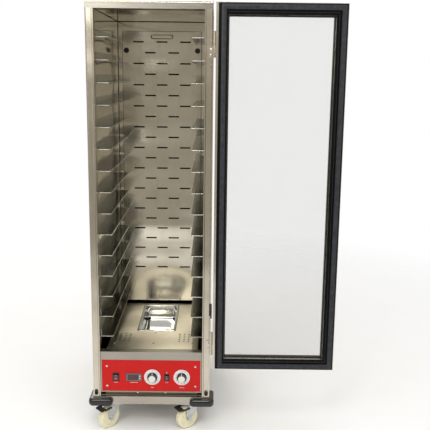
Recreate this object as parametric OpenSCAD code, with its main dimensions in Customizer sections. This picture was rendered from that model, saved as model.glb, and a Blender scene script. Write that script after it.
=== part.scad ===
// Proofing cabinet on casters: an insulated, heated and humidified tray cabinet with a glass door.
// +X is to the right, +Y to the back, +Z up. The origin is on the floor, under the middle of the cabinet.
// The door is drawn swung open by half a turn about its hinges.

/* [Cabinet] */
// Width over the side panels
body_width = 500; // [480:5:560]
// Depth from the front plane to the back panel
body_depth = 690; // [680:5:760]
// Thickness of the insulated side walls
wall_thickness = 32; // [30:1:36]
// Thickness of the sheet steel
sheet = 1.2; // [0.8:0.1:1.5]
// Height of the lower edge of the base beams above the floor
base_bottom = 118; // [118:1:130]

/* [Tray levels] */
// Number of tray levels
level_count = 15; // [8:1:15]
// Distance from one tray level to the next
level_pitch = 90; // [75:1:90]
// Width of the ledge that a tray rests on
ledge_width = 51; // [35:1:52]
// Length of a ledge from front to back
ledge_length = 540; // [400:10:540]
// Height of the upright leg of a slide
slide_leg = 33; // [20:1:40]

/* [Door] */
// How far the door is drawn open about its hinges, in degrees
door_open = 180; // [0:5:255]
// Width of the door
door_width = 498; // [470:1:498]
// Thickness of the door from its gasket to its outer face
door_thickness = 45; // [42:1:48]
// Width of the door's frame
door_frame_width = 46; // [42:1:60]

/* [Controls] */
// Diameter of the white plate behind each knob
dial_diameter = 70; // [60:1:72]
// Diameter of a control knob
knob_diameter = 44; // [36:1:46]
// Angle between a rocker's two positions, in degrees
rocker_travel = 14; // [8:1:16]

/* [Water pan] */
// Width of the water pan over its rim
pan_width = 176; // [150:1:180]
// Length of the water pan over its rim
pan_length = 325; // [265:1:325]
// Depth of the water pan
pan_depth = 65; // [40:1:65]

/* [Casters] */
// Diameter of a caster wheel
wheel_diameter = 100; // [80:1:100]
// Width of a caster wheel
wheel_width = 32; // [25:1:34]
// Distance from a caster's swivel axis back to its axle
caster_trail = 24; // [15:1:30]
// Angle that the front left caster is turned to, in degrees
front_left_turn = -44; // [-180:1:180]
// Angle that the front right caster is turned to, in degrees
front_right_turn = -54; // [-180:1:180]
// Angle that the rear left caster is turned to, in degrees
rear_left_turn = -32; // [-180:1:180]
// Angle that the rear right caster is turned to, in degrees
rear_right_turn = -62; // [-180:1:180]

/* [Hidden] */
$fn = 64;

// Clearance between pieces that move past each other, and of a shaft in its hole
gap = 0.3;
fit = 0.05;

// The cabinet's main planes
half_width = body_width / 2;
inner_half = half_width - wall_thickness;
front_y = -body_depth / 2;
back_y = body_depth / 2;
post_depth = 40;
base_height = 35;
base_top = base_bottom + base_height;
base_depth = 76;
plate_top = base_top + 1.5;

// The control module in the foot of the cabinet
lip_bottom = base_top + 22;
panel_bottom = lip_bottom + 5;
panel_height = 141;
panel_top = panel_bottom + panel_height;
fascia_top = panel_top + 37;
fascia_half = inner_half - 2;
panel_half = fascia_half - 5;
flange_depth = 30;
floor_top = fascia_top - 8;
floor_half = inner_half - 20;
floor_seam_y = front_y + 225;

// The chamber
first_level = fascia_top + 51;
ceiling_z = first_level + (level_count - 1) * level_pitch + 106;
cap_height = 38;
body_top = ceiling_z + cap_height;
ledge_front_y = front_y + 45;
ledge_sheet = 1.5;
ledge_lip = 6;

// The air duct in front of the back wall
duct_y = front_y + 600;
liner_back_y = duct_y + 30;
duct_half = 192;
duct_bottom = floor_top + 15;
duct_top = ceiling_z - 47;
slot_width = 52;
slot_height = 7;
slot_spacing = 114;
slot_pitch = 103;
slot_rows = floor((duct_top - duct_bottom - 200) / slot_pitch) + 1;
first_slot_z = duct_bottom + 180;
pull_z = duct_top - 26;
pull_width = 104;
pull_height = 16;
plug_radius = 13;
plug_x = 173;
plug_z = duct_top - 91;

// The door: it is laid out shut, with its gasket a gap in front of the cabinet
door_bottom = panel_top + 5;
door_top = body_top - 19;
door_right_x = half_width - 0.5;
door_left_x = door_right_x - door_width;
door_face_y = front_y - gap;
door_outer_y = door_face_y - door_thickness;
gasket_proud = 8;
frame_depth = door_thickness - gasket_proud;
frame_wall = 1.5;
gasket_hinge_inset = 21;
gasket_inset = 8;
gasket_width = 19;
glass_sheet = 4;
inner_glass_y = door_face_y - 22;
outer_glass_y = door_face_y - 38;
glass_groove = 10;

// The hinges
knuckle_radius = 5.5;
pin_radius = 3;
pivot_x = half_width + knuckle_radius;
pivot_y = door_outer_y;
hinge_height = 100;
bracket_height = 44;
low_hinge_z = door_bottom + 44;
high_hinge_z = door_top - 204;
hinge_sheet = 3;

// The controls
dial_z = panel_bottom + 64;
dial_xs = [5, 131];
power_x = -151;
mode_x = 67;
display_x = -74;
rocker_pivot_y = front_y - 2;
panel_sheet = 1.2;
knob_depth = 19;
shaft_radius = 3;

// The floor's holes and screws
hole_xs = [112, 133, 154, 175];
hole_rows = 5;
hole_row_pitch = 18.75;
first_hole_y = front_y + 130;
hole_radius = 4.5;
floor_screw_x = 173;
floor_screw_ys = [front_y + 104, floor_seam_y - 5];

// The water pan
pan_body_width = pan_width - 22;
pan_body_length = pan_length - 22;
pan_y = front_y + 240 + pan_length / 2;

// Inside the control module
case_front_y = front_y + 16;
case_back_y = liner_back_y - 0.5;
case_top = floor_top - sheet - 0.2;
panel_screw_x = 189;
panel_screw_zs = [panel_bottom + 24, panel_top - 27];
kick_screw_x = 60;
gland_x = 150;
gland_z = plate_top + 70;
blower_y = front_y + 590;
blower_z = plate_top + 74;
blower_radius = 26;
blower_half = 130;

// The bumpers
bumper_low = base_bottom - 5;
bumper_height = 34;
bumper_proud = 20;
bumper_arm = 85;

// The casters
wheel_radius = wheel_diameter / 2;
caster_x = 172;
caster_in = 38;
axle_radius = 6;
caster_plate = 4;
head_top = base_bottom - caster_plate - gap;
crown_bottom = wheel_diameter + 3;
crown_sheet = 3;
leg_inner = wheel_width / 2 + 1.5;
leg_outer = leg_inner + 3;
pedal_pivot_r = 26;
pedal_pivot_z = 97;
pedal_rest = -2;

steel = [0.72, 0.69, 0.63];
bright_steel = [0.82, 0.82, 0.8];
dark_steel = [0.45, 0.45, 0.43];
zinc = [0.66, 0.68, 0.68];
panel_red = [0.8, 0.09, 0.08];
rubber_black = [0.06, 0.06, 0.06];
plastic_black = [0.09, 0.09, 0.09];
nylon = [0.93, 0.9, 0.72];
wool = [0.85, 0.78, 0.5];

// ---------- Helpers ----------

// A block between its low corner and its high corner
module span(low, high) {
    translate(low) cube(high - low);
}

// The children, and their mirror image on the other side of the cabinet
module both_sides() {
    children();
    mirror([1, 0, 0]) children();
}

// The children on the door, which is swung open about the hinge line
module on_door() {
    translate([pivot_x, pivot_y, 0]) rotate([0, 0, door_open]) translate([-pivot_x, -pivot_y, 0])
        children();
}

// A flat outline with round corners
module rounded_rect(w, h, r) {
    square([w - 2 * r, h], center = true);
    square([w, h - 2 * r], center = true);
    for (x = [-1, 1], y = [-1, 1]) {
        translate([x * (w / 2 - r), y * (h / 2 - r)]) circle(r);
    }
}

// The children's +Z axis turned to the front, at a point on the front of the cabinet
module facing_front(x, y, z) {
    translate([x, y, z]) rotate([90, 0, 0]) children();
}

// A screw with a domed head and a crossed slot; its head stands on Z = 0
module screw(head_radius, head_height, length) {
    difference() {
        intersection() {
            cylinder(h = head_height, r = head_radius);
            translate([0, 0, head_height - 2 * head_radius]) sphere(2 * head_radius);
        }
        for (turn = [0, 90]) {
            rotate([0, 0, turn]) translate([-head_radius * 0.6, -0.4, head_height - 0.9])
                cube([head_radius * 1.2, 0.8, 2]);
        }
    }
    translate([0, 0, -length]) cylinder(h = length + 0.2, r = head_radius * 0.45);
}

// ---------- Base ----------

module base_plate() {
    color(dark_steel)
    span([-half_width, front_y + 14, base_top], [half_width, back_y - 2, plate_top]);
}

// A rectangular steel tube between two corners, open along X or along Y
module tube_span(low, high, wall, along_x) {
    inset_x = along_x ? -1 : wall;
    inset_y = along_x ? wall : -1;
    difference() {
        span(low, high);
        span(low + [inset_x, inset_y, wall], high - [inset_x, inset_y, wall]);
    }
}

module base_beams() {
    color(steel) {
        tube_span([-half_width, front_y, base_bottom],
            [half_width, front_y + base_depth, base_top], 2, true);
        tube_span([-half_width, back_y - base_depth, base_bottom],
            [half_width, back_y, base_top], 2, true);
        both_sides() {
            tube_span([inner_half - 8, front_y + base_depth + 0.2, base_bottom],
                [half_width, back_y - base_depth - 0.2, base_top], 2, false);
        }
    }
}

// ---------- Outer shell ----------

module side_panel() {
    span([half_width - sheet, front_y + post_depth, plate_top],
        [half_width, back_y - sheet, body_top - sheet]);
}

module left_outer_panel() {
    color(steel) mirror([1, 0, 0]) side_panel();
}

module right_outer_panel() {
    color(steel) side_panel();
}

// The back has rows of cooling slots at the height of the control module, and the hole for the cord
module back_panel() {
    vent_rows = 5;
    color(steel)
    difference() {
        span([-half_width, back_y - sheet, plate_top], [half_width, back_y, body_top - sheet]);
        for (row = [0:vent_rows - 1], x = [-110, -40, 30]) {
            span([x - 25, back_y - 5, plate_top + 60 + row * 14],
                [x + 25, back_y + 5, plate_top + 64 + row * 14]);
        }
        translate([gland_x, back_y - 5, gland_z]) rotate([-90, 0, 0]) cylinder(h = 10, r = 10);
    }
}

module top_panel() {
    color(steel)
    span([-half_width, front_y + post_depth, body_top - sheet], [half_width, back_y, body_top]);
}

// The header over the doorway: a folded section with a round top edge and a drip groove
module top_cap() {
    edge = 9;
    depth = post_depth;
    color(steel)
    translate([-half_width - 1, 0, 0]) rotate([90, 0, 90])
    linear_extrude(body_width + 2)
    translate([front_y, ceiling_z])
    difference() {
        union() {
            square([depth, cap_height - edge]);
            translate([edge, 0]) square([depth - edge, cap_height]);
            translate([edge, cap_height - edge]) circle(edge);
        }
        translate([-1, cap_height - 21]) square([2.2, 2]);
    }
}

// A front post in plan: a bead at the doorway, a shallow groove, and a round outer edge
module post_outline() {
    edge = 6;
    difference() {
        union() {
            translate([inner_half, front_y]) square([wall_thickness - edge, post_depth]);
            translate([inner_half, front_y + edge]) square([wall_thickness, post_depth - edge]);
            translate([half_width - edge, front_y + edge]) circle(edge);
        }
        translate([inner_half + 5, front_y - 1]) square([2, 2.2]);
        translate([inner_half + 14, front_y - 1]) square([1.2, 2]);
        translate([inner_half + 3, front_y + 3]) square([wall_thickness - 6, post_depth - 6]);
    }
}

// Each post has an oval opening at its foot
module front_posts() {
    oval_radius = 8;
    color(steel)
    both_sides() difference() {
        translate([0, 0, plate_top]) linear_extrude(ceiling_z - plate_top) post_outline();
        for (z = [12, 24]) {
            facing_front(inner_half + 18, front_y + 10, plate_top + z) cylinder(h = 20, r = oval_radius);
        }
        span([inner_half + 18 - oval_radius, front_y - 10, plate_top + 12],
            [inner_half + 18 + oval_radius, front_y + 10, plate_top + 24]);
    }
}

module rear_posts() {
    color(dark_steel)
    both_sides() difference() {
        span([inner_half + 2, back_y - 34, plate_top], [half_width - 2, back_y - 4, ceiling_z]);
        span([inner_half + 4, back_y - 32, plate_top - 1], [half_width - 4, back_y - 6, ceiling_z + 1]);
    }
}

// ---------- Chamber lining ----------

module side_liner() {
    span([inner_half, front_y + post_depth + 0.1, plate_top],
        [inner_half + sheet, liner_back_y, ceiling_z]);
}

module left_liner() {
    color(bright_steel) mirror([1, 0, 0]) side_liner();
}

module right_liner() {
    color(bright_steel) side_liner();
}

module back_liner() {
    color(bright_steel)
    span([-inner_half, liner_back_y, plate_top], [inner_half, liner_back_y + sheet, ceiling_z]);
}

module ceiling_liner() {
    color(bright_steel)
    span([-inner_half - sheet, front_y + post_depth + 0.1, ceiling_z],
        [inner_half + sheet, liner_back_y + sheet, ceiling_z + sheet]);
}

module insulation() {
    clear = 0.3;
    color(wool) {
        both_sides() span([inner_half + sheet + clear, front_y + post_depth + 1, plate_top + 1],
            [half_width - sheet - clear, back_y - 35, ceiling_z - 1]);
        span([-inner_half + 1, liner_back_y + sheet + clear, plate_top + 110],
            [inner_half - 1, back_y - sheet - clear, ceiling_z - 1]);
        span([-inner_half + 1, front_y + post_depth + 1, ceiling_z + sheet + clear],
            [inner_half - 1, back_y - sheet - 1, body_top - sheet - clear]);
    }
}

// ---------- Tray slides ----------

// One slide in section: an upright leg on the wall, a level ledge and a lip that is turned down
module slide_outline() {
    translate([inner_half - ledge_width, -ledge_sheet]) square([ledge_width, ledge_sheet]);
    translate([inner_half - ledge_sheet, -ledge_sheet]) square([ledge_sheet, slide_leg]);
    translate([inner_half - ledge_width, -ledge_lip]) square([ledge_sheet, ledge_lip]);
}

module tray_slides() {
    for (level = [0:level_count - 1]) {
        translate([0, ledge_front_y + ledge_length, first_level + level * level_pitch])
            rotate([90, 0, 0]) linear_extrude(ledge_length) slide_outline();
    }
}

module left_tray_slides() {
    color(bright_steel) mirror([1, 0, 0]) tray_slides();
}

module right_tray_slides() {
    color(bright_steel) tray_slides();
}

// ---------- Air duct ----------

// The duct cover: a shallow box with staggered slots, a finger pull and two plugged holes
module duct_panel() {
    depth = liner_back_y - duct_y - 0.2;
    color(steel)
    difference() {
        span([-duct_half, duct_y, duct_bottom], [duct_half, duct_y + depth, duct_top]);
        span([-duct_half + sheet, duct_y + sheet, duct_bottom - 1],
            [duct_half - sheet, duct_y + depth + 1, duct_top - sheet]);
        for (row = [0:slot_rows - 1], column = [-1:1]) {
            air_slot(column * slot_spacing, first_slot_z + row * slot_pitch);
        }
        for (row = [0:slot_rows - 2], column = [-0.5, 0.5]) {
            air_slot(column * slot_spacing, first_slot_z + (row + 0.5) * slot_pitch);
        }
        span([-pull_width / 2, duct_y - 5, pull_z - pull_height / 2],
            [pull_width / 2, duct_y + 5, pull_z + pull_height / 2]);
        for (side = [-1, 1]) {
            facing_front(side * plug_x, duct_y + 5, plug_z) cylinder(h = 10, r = plug_radius - 3);
            facing_front(side * (pull_width / 2 + 12), duct_y + 5, pull_z) cylinder(h = 10, r = 2);
        }
    }
}

module air_slot(x, z) {
    span([x - slot_width / 2, duct_y - 5, z - slot_height / 2],
        [x + slot_width / 2, duct_y + 5, z + slot_height / 2]);
}

module duct_plugs() {
    color(dark_steel)
    for (side = [-1, 1]) {
        facing_front(side * plug_x, duct_y, plug_z) rotate_extrude() {
            square([plug_radius - 1, 2]);
            translate([plug_radius - 1, 0]) square([1, 1]);
            translate([0, -4]) square([plug_radius - 3.1, 4]);
        }
    }
}

// ---------- Floor of the chamber ----------

// The air goes back to the heater through two fields of round holes
module front_floor_plate() {
    color(steel)
    difference() {
        span([-floor_half, front_y + flange_depth + 1, floor_top - sheet],
            [floor_half, floor_seam_y, floor_top]);
        for (side = [-1, 1], x = hole_xs, row = [0:hole_rows - 1]) {
            translate([side * x, first_hole_y + row * hole_row_pitch, floor_top - 5])
                cylinder(h = 10, r = hole_radius);
        }
        for (x = [-floor_screw_x, 0, floor_screw_x], y = floor_screw_ys) {
            translate([x, y, floor_top - 5]) cylinder(h = 10, r = 2);
        }
    }
}

module rear_floor_plate() {
    color(steel)
    difference() {
        span([-floor_half, floor_seam_y + 0.5, floor_top - sheet], [floor_half, duct_y - 5, floor_top]);
        translate([0, pan_y, floor_top - 5]) linear_extrude(10)
            rounded_rect(pan_body_width + 4, pan_body_length + 4, 22);
    }
}

// ---------- Water pan ----------

module water_pan() {
    wall = 1;
    corner = 20;
    color(bright_steel)
    translate([0, pan_y, floor_top + gap])
    difference() {
        union() {
            linear_extrude(1.5) rounded_rect(pan_width, pan_length, 10);
            translate([0, 0, -pan_depth]) linear_extrude(pan_depth)
                rounded_rect(pan_body_width, pan_body_length, corner);
        }
        translate([0, 0, wall - pan_depth]) linear_extrude(pan_depth + 5)
            rounded_rect(pan_body_width - 2 * wall, pan_body_length - 2 * wall, corner - wall);
    }
}

// A tray of heat-spreading plate with a round heating rod bent to a U below it
module water_heater() {
    plate_z = floor_top - pan_depth - 4;
    rod = 4;
    bend = 40;
    straight = 200;
    color(dark_steel) {
        translate([0, pan_y, plate_z]) linear_extrude(2)
            rounded_rect(pan_body_width - 10, pan_body_length - 10, 12);
        translate([0, pan_y - straight / 2, plate_z - rod - 0.2]) {
            for (x = [-bend, bend]) {
                translate([x, 0, 0]) rotate([-90, 0, 0]) cylinder(h = straight, r = rod);
            }
            translate([0, straight, 0]) rotate_extrude(angle = 180) translate([bend, 0]) circle(rod);
        }
    }
}

// ---------- Control module ----------

// The case under the chamber's floor: a bottom and four walls
module module_case() {
    low = plate_top + 2;
    color(dark_steel) {
        span([-floor_half, case_front_y, low], [floor_half, case_back_y, low + sheet]);
        both_sides() span([floor_half - sheet, case_front_y + flange_depth, low + sheet],
            [floor_half, case_back_y, case_top]);
        difference() {
            span([-floor_half, case_front_y, low + sheet],
                [floor_half, case_front_y + sheet, lip_bottom + 6]);
            for (x = [-kick_screw_x, kick_screw_x]) {
                facing_front(x, case_front_y + 5, base_top + 10) cylinder(h = 10, r = 2);
            }
        }
        span([-floor_half + sheet, case_back_y - sheet, low + sheet],
            [floor_half - sheet, case_back_y, low + 90]);
    }
}

// The openings for the switches, the display and the knobs' shafts
module control_cutouts() {
    facing_front(power_x, front_y + 20, dial_z) linear_extrude(40) square([25, 33], center = true);
    facing_front(mode_x, front_y + 20, dial_z) linear_extrude(40) square([19, 27], center = true);
    facing_front(display_x, front_y + 20, dial_z) linear_extrude(40) square([52, 26], center = true);
    for (x = dial_xs) {
        facing_front(x, front_y + 20, dial_z) cylinder(h = 40, r = 5);
    }
}

// The fascia has a deep flange along its top and a lip along its foot
module fascia() {
    color(steel)
    difference() {
        union() {
            span([-fascia_half, front_y, lip_bottom], [fascia_half, front_y + 1.5, fascia_top]);
            span([-fascia_half, front_y, fascia_top - 1.5],
                [fascia_half, front_y + flange_depth, fascia_top]);
            span([-fascia_half, front_y, lip_bottom], [fascia_half, front_y + 14, lip_bottom + 1.5]);
            span([-fascia_half, front_y - 2, lip_bottom], [fascia_half, front_y + 1.5, panel_bottom - 1]);
        }
        control_cutouts();
    }
}

module control_panel() {
    color(panel_red)
    difference() {
        span([-panel_half, front_y - panel_sheet, panel_bottom], [panel_half, front_y, panel_top]);
        control_cutouts();
        for (x = [-panel_screw_x, panel_screw_x], z = panel_screw_zs) {
            facing_front(x, front_y + 5, z) cylinder(h = 10, r = 2.2);
        }
    }
}

// The screws of the control panel, the kick strip, the floor plate and the duct cover
module cover_screws() {
    color(bright_steel) {
        for (x = [-panel_screw_x, panel_screw_x], z = panel_screw_zs) {
            facing_front(x, front_y - panel_sheet, z) screw(4.5, 2.6, 1);
        }
        for (x = [-kick_screw_x, kick_screw_x]) {
            facing_front(x, case_front_y, base_top + 10) screw(4, 2.4, 0.5);
        }
        for (x = [-floor_screw_x, 0, floor_screw_x], y = floor_screw_ys) {
            translate([x, y, floor_top]) screw(4, 2.2, 1);
        }
        for (side = [-1, 1]) {
            facing_front(side * (pull_width / 2 + 12), duct_y, pull_z) screw(4, 2.2, 1);
        }
    }
}

// A switch housing: a bezel on the panel with an open barrel behind it, and holes for the rocker's pins
module switch_housing(x, w, h) {
    bezel = 2.5;
    wall = 2;
    difference() {
        union() {
            facing_front(x, front_y - panel_sheet, dial_z) linear_extrude(bezel)
                rounded_rect(w + 4, h + 4, 2.5);
            facing_front(x, front_y + 16, dial_z) linear_extrude(16 + panel_sheet)
                square([w - 0.4, h - 0.4], center = true);
        }
        facing_front(x, front_y + 14, dial_z) linear_extrude(30)
            square([w - 2 * wall, h - 2 * wall], center = true);
        translate([x - w / 2 + 0.8, rocker_pivot_y + 6, dial_z]) rotate([0, 90, 0])
            cylinder(h = w - 1.6, r = 1.5 + fit);
    }
}

module switch_housings() {
    color(plastic_black) {
        switch_housing(power_x, 25, 33);
        switch_housing(mode_x, 19, 27);
    }
}

// A rocker pivots on two pins; its face is a shallow valley, and one half of it is pressed in
module rocker(x, w, h) {
    width = w - 2 * gap;
    half = h / 2 - 1.4;
    translate([x, rocker_pivot_y + 6, dial_z]) rotate([rocker_travel / 2, 0, 0]) {
        rotate([0, 90, 0]) linear_extrude(width, center = true)
            polygon([[-half, -9.5], [-half, -2], [-4, 5], [4, 5], [half, -2], [half, -9.5], [0, -7.2]]);
        rotate([0, 90, 0]) cylinder(h = width + 2.2, r = 1.5, center = true);
    }
}

module power_rocker() {
    color(plastic_black) rocker(power_x, 21, 29);
}

module mode_rocker() {
    color(plastic_black) rocker(mode_x, 15, 23);
}

module display_bezel() {
    color([0.62, 0.63, 0.64])
    difference() {
        union() {
            facing_front(display_x, front_y - panel_sheet, dial_z) linear_extrude(3)
                rounded_rect(66, 34, 3);
            facing_front(display_x, front_y + 12, dial_z) linear_extrude(12 + panel_sheet)
                square([51.6, 25.6], center = true);
        }
        facing_front(display_x - 3, front_y - panel_sheet, dial_z) linear_extrude(10)
            square([45, 23], center = true);
    }
}

module display_window() {
    color([0.1, 0.12, 0.13])
    facing_front(display_x - 3, front_y - panel_sheet, dial_z) linear_extrude(1.5)
        rounded_rect(44.6, 22.6, 1.5);
}

module dial_plates() {
    color([0.93, 0.93, 0.92])
    for (x = dial_xs) {
        facing_front(x, front_y - panel_sheet, dial_z) rotate_extrude()
            translate([4, 0]) square([dial_diameter / 2 - 4, 1]);
    }
}

// A knob in half section: a skirt and a grip that narrows a little, hollow behind
module knob_outline() {
    radius = knob_diameter / 2;
    difference() {
        union() {
            square([radius, 5]);
            polygon([[0, 0], [radius - 4, 0], [radius - 4, 5], [radius - 6, knob_depth - 1.5],
                [radius - 8, knob_depth], [0, knob_depth]]);
        }
        translate([8, -1]) square([radius - 14, knob_depth - 4]);
        translate([-1, -1]) square([shaft_radius + fit + 1, knob_depth - 5]);
    }
}

// The pointer is a rib across the grip, up at rest
module knob(x) {
    facing_front(x, front_y - panel_sheet - 1 - gap, dial_z) {
        rotate_extrude() knob_outline();
        translate([-2, knob_diameter / 2 - 7, 2]) cube([4, 5.5, knob_depth - 3]);
    }
}

module temperature_knob() {
    color(plastic_black) knob(dial_xs[0]);
}

module humidity_knob() {
    color(plastic_black) knob(dial_xs[1]);
}

// A control capsule behind each knob, with the shaft that the knob turns about
module thermostats() {
    color(zinc)
    for (x = dial_xs) {
        facing_front(x, front_y + 30, dial_z) {
            linear_extrude(28) rounded_rect(38, 38, 5);
            cylinder(h = 30 + panel_sheet + 1 + knob_depth - 8, r = shaft_radius);
        }
    }
}

module terminal_block() {
    color([0.85, 0.85, 0.8])
    translate([120, front_y + 120, plate_top + 4])
    difference() {
        cube([60, 22, 20]);
        for (way = [0:4]) {
            translate([3 + way * 11.4, 3, 8]) cube([8.4, 16, 20]);
        }
    }
}

// Three passes of heating rod across the case, joined by bends, on two brackets
module air_heater() {
    rod = 4;
    half = 130;
    step = 36;
    first_y = front_y + 150;
    z = plate_top + 90;
    color(dark_steel) {
        for (pass = [0:2]) {
            translate([-half, first_y + pass * step, z]) rotate([0, 90, 0])
                cylinder(h = 2 * half, r = rod);
        }
        translate([half, first_y + step / 2, z]) rotate([0, 0, -90])
            rotate_extrude(angle = 180) translate([step / 2, 0]) circle(rod);
        translate([-half, first_y + 1.5 * step, z]) rotate([0, 0, 90])
            rotate_extrude(angle = 180) translate([step / 2, 0]) circle(rod);
        for (x = [-90, 90]) {
            span([x - 1, first_y - 12, plate_top + 3.3],
                [x + 1, first_y + 2 * step + 12, z + 8]);
        }
    }
}

// A cross-flow blower lies under the duct: a long bladed drum in a curved sheet, with its motor
module blower_housing() {
    shell = blower_radius + 6;
    color(zinc) {
        difference() {
            translate([-blower_half, blower_y, blower_z]) rotate([0, 90, 0])
                cylinder(h = 2 * blower_half, r = shell);
            translate([-blower_half + 1.5, blower_y, blower_z]) rotate([0, 90, 0])
                cylinder(h = 2 * blower_half - 3, r = shell - 1.5);
            translate([-blower_half - 1, blower_y, blower_z]) rotate([0, 90, 0])
                cylinder(h = 2 * blower_half + 2, r = shaft_radius + fit);
            span([-blower_half + 10, blower_y - 50, blower_z], [blower_half - 10, blower_y + 2, blower_z + 60]);
        }
        translate([blower_half + 8, blower_y, blower_z]) rotate([0, 90, 0])
            linear_extrude(36) rounded_rect(44, 44, 8);
    }
}

module blower_wheel() {
    blades = 18;
    half = blower_half - 5;
    color([0.75, 0.76, 0.78])
    translate([0, blower_y, blower_z]) rotate([0, 90, 0]) {
        for (z = [-half, half - 2]) {
            translate([0, 0, z]) cylinder(h = 2, r = blower_radius);
        }
        for (blade = [0:blades - 1]) {
            rotate([0, 0, blade * 360 / blades]) translate([blower_radius - 8, 0, -half])
                rotate([0, 0, 20]) cube([7, 0.8, 2 * half]);
        }
        translate([0, 0, -blower_half - 2]) cylinder(h = 2 * blower_half + 7, r = shaft_radius);
    }
}

// The inlet for the mains lead is a threaded gland with a hexagon nut; it holds no lead
module cord_gland() {
    color(plastic_black)
    translate([gland_x, back_y, gland_z]) rotate([-90, 0, 0])
    difference() {
        union() {
            cylinder(h = 5, r = 15, $fn = 6);
            cylinder(h = 17, r = 10.5);
            translate([0, 0, -8]) cylinder(h = 9, r = 9.8);
            translate([0, 0, -sheet - 6]) cylinder(h = 5.8, r = 15, $fn = 6);
        }
        translate([0, 0, -20]) cylinder(h = 60, r = 5.5);
    }
}

// ---------- Hinges ----------

// The lower half of a lift-off hinge: a leaf on the post, an arm beside the door, and the pin
module hinge_bracket(z) {
    leaf_left = half_width - 15.5;
    arm_left = pivot_x - 4.9;
    translate([0, 0, z]) {
        difference() {
            union() {
                span([leaf_left, front_y - hinge_sheet, 0],
                    [arm_left + hinge_sheet, front_y, bracket_height]);
                span([arm_left, pivot_y, 0], [arm_left + hinge_sheet, front_y, bracket_height]);
                translate([pivot_x, pivot_y, 0]) cylinder(h = bracket_height, r = knuckle_radius);
            }
            for (hole_z = [11, 33]) {
                facing_front(leaf_left + 7.5, front_y + 5, hole_z) cylinder(h = 10, r = 2.2);
            }
        }
        translate([pivot_x, pivot_y, 0]) cylinder(h = hinge_height - 4, r = pin_radius);
    }
}

module hinge_brackets() {
    color(steel) {
        hinge_bracket(low_hinge_z);
        hinge_bracket(high_hinge_z);
    }
}

// The upper half: a knuckle that sits on the pin, and a strap on the door's outer face
module door_hinge_leaf(z) {
    low = z + bracket_height + gap;
    high = z + hinge_height;
    difference() {
        union() {
            span([pivot_x - 42, pivot_y - hinge_sheet, low], [pivot_x, pivot_y, high]);
            translate([pivot_x, pivot_y, low]) cylinder(h = high - low, r = knuckle_radius);
        }
        translate([pivot_x, pivot_y, low - 1]) cylinder(h = high - low - 1, r = pin_radius + fit);
        for (x = [pivot_x - 32, pivot_x - 18]) {
            facing_front(x, pivot_y + 5, (low + high) / 2) cylinder(h = 20, r = 2.2);
        }
    }
}

module door_hinge_leaves() {
    color(steel)
    on_door() {
        door_hinge_leaf(low_hinge_z);
        door_hinge_leaf(high_hinge_z);
    }
}

// A small block on the edge of the post that the door's edge settles against
module door_stop() {
    stop_z = low_hinge_z + 152;
    color(rubber_black)
    span([half_width, front_y - 26, stop_z], [half_width + 7, front_y + 12, stop_z + 51]);
}

// ---------- Door ----------

// The frame in section: x runs from the door's edge to the glass, y from its outer face to its inner
// face, with a groove that holds the panes and one that holds the gasket
module frame_outline(gasket_x) {
    groove_low = door_thickness - 22 + 0.1;
    groove_high = door_thickness - 42 - 0.1;
    difference() {
        square([door_frame_width, frame_depth]);
        translate([door_frame_width - glass_groove, groove_high])
            square([glass_groove + 1, groove_low - groove_high]);
        translate([gasket_x + 6, frame_depth - 5]) square([7, 6]);
    }
}

// The hollow inside the frame
module frame_hollow() {
    translate([frame_wall, frame_wall])
        square([door_frame_width - glass_groove - 2 * frame_wall, frame_depth - 5 - 2 * frame_wall]);
}

// An upright of the frame: its ends are closed, and a hole in the foot lets water out
module frame_stile(gasket_x) {
    height = door_top - door_bottom;
    difference() {
        linear_extrude(height) frame_outline(gasket_x);
        translate([0, 0, frame_wall]) linear_extrude(height - 2 * frame_wall) frame_hollow();
        translate([door_frame_width / 3, frame_depth / 2, -1]) cylinder(h = frame_wall + 2, r = 3);
    }
}

module frame_rail(length) {
    rotate([90, 0, 90]) linear_extrude(length) mirror([1, -1, 0]) difference() {
        frame_outline(gasket_inset);
        frame_hollow();
    }
}

module door_frame() {
    joint = 0.1;
    rail_length = door_width - 2 * door_frame_width - 2 * joint;
    rail_x = door_left_x + door_frame_width + joint;
    color(steel)
    on_door() {
        translate([door_left_x, door_outer_y, door_bottom]) frame_stile(gasket_inset);
        translate([door_right_x, door_outer_y, door_bottom]) mirror([1, 0, 0])
            frame_stile(gasket_hinge_inset);
        translate([rail_x, door_outer_y, door_bottom]) frame_rail(rail_length);
        translate([rail_x, door_outer_y, door_top]) mirror([0, 0, 1]) frame_rail(rail_length);
    }
}

// Two panes with an air space between them
module door_glass() {
    edge = door_frame_width - glass_groove + 0.5;
    color([0.8, 0.9, 0.88, 0.35])
    on_door() for (y = [inner_glass_y - glass_sheet, outer_glass_y - glass_sheet]) {
        span([door_left_x + edge, y, door_bottom + edge],
            [door_right_x - edge, y + glass_sheet, door_top - edge]);
    }
}

// Four strips that make a ring inside the door's edge, with its own distance on the hinge side
module door_ring(hinge_inset, inset, width, low_y, high_y) {
    left = door_left_x + inset;
    right = door_right_x - hinge_inset;
    low = door_bottom + inset;
    high = door_top - inset;
    span([left, low_y, low], [left + width, high_y, high]);
    span([right - width, low_y, low], [right, high_y, high]);
    span([left + width + 0.05, low_y, low], [right - width - 0.05, high_y, low + width]);
    span([left + width + 0.05, low_y, high - width], [right - width - 0.05, high_y, high]);
}

module door_gasket() {
    color([0.35, 0.35, 0.36])
    on_door() {
        door_ring(gasket_hinge_inset, gasket_inset, gasket_width,
            door_face_y - gasket_proud, door_face_y);
    }
}

// The spacer between the panes, which shows as a dark border round the glass
module glazing_bead() {
    inset = door_frame_width - glass_groove + 1;
    color(plastic_black)
    on_door() {
        door_ring(inset, inset, glass_groove + 4,
            outer_glass_y + 0.1, inner_glass_y - glass_sheet - 0.1);
    }
}

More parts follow.
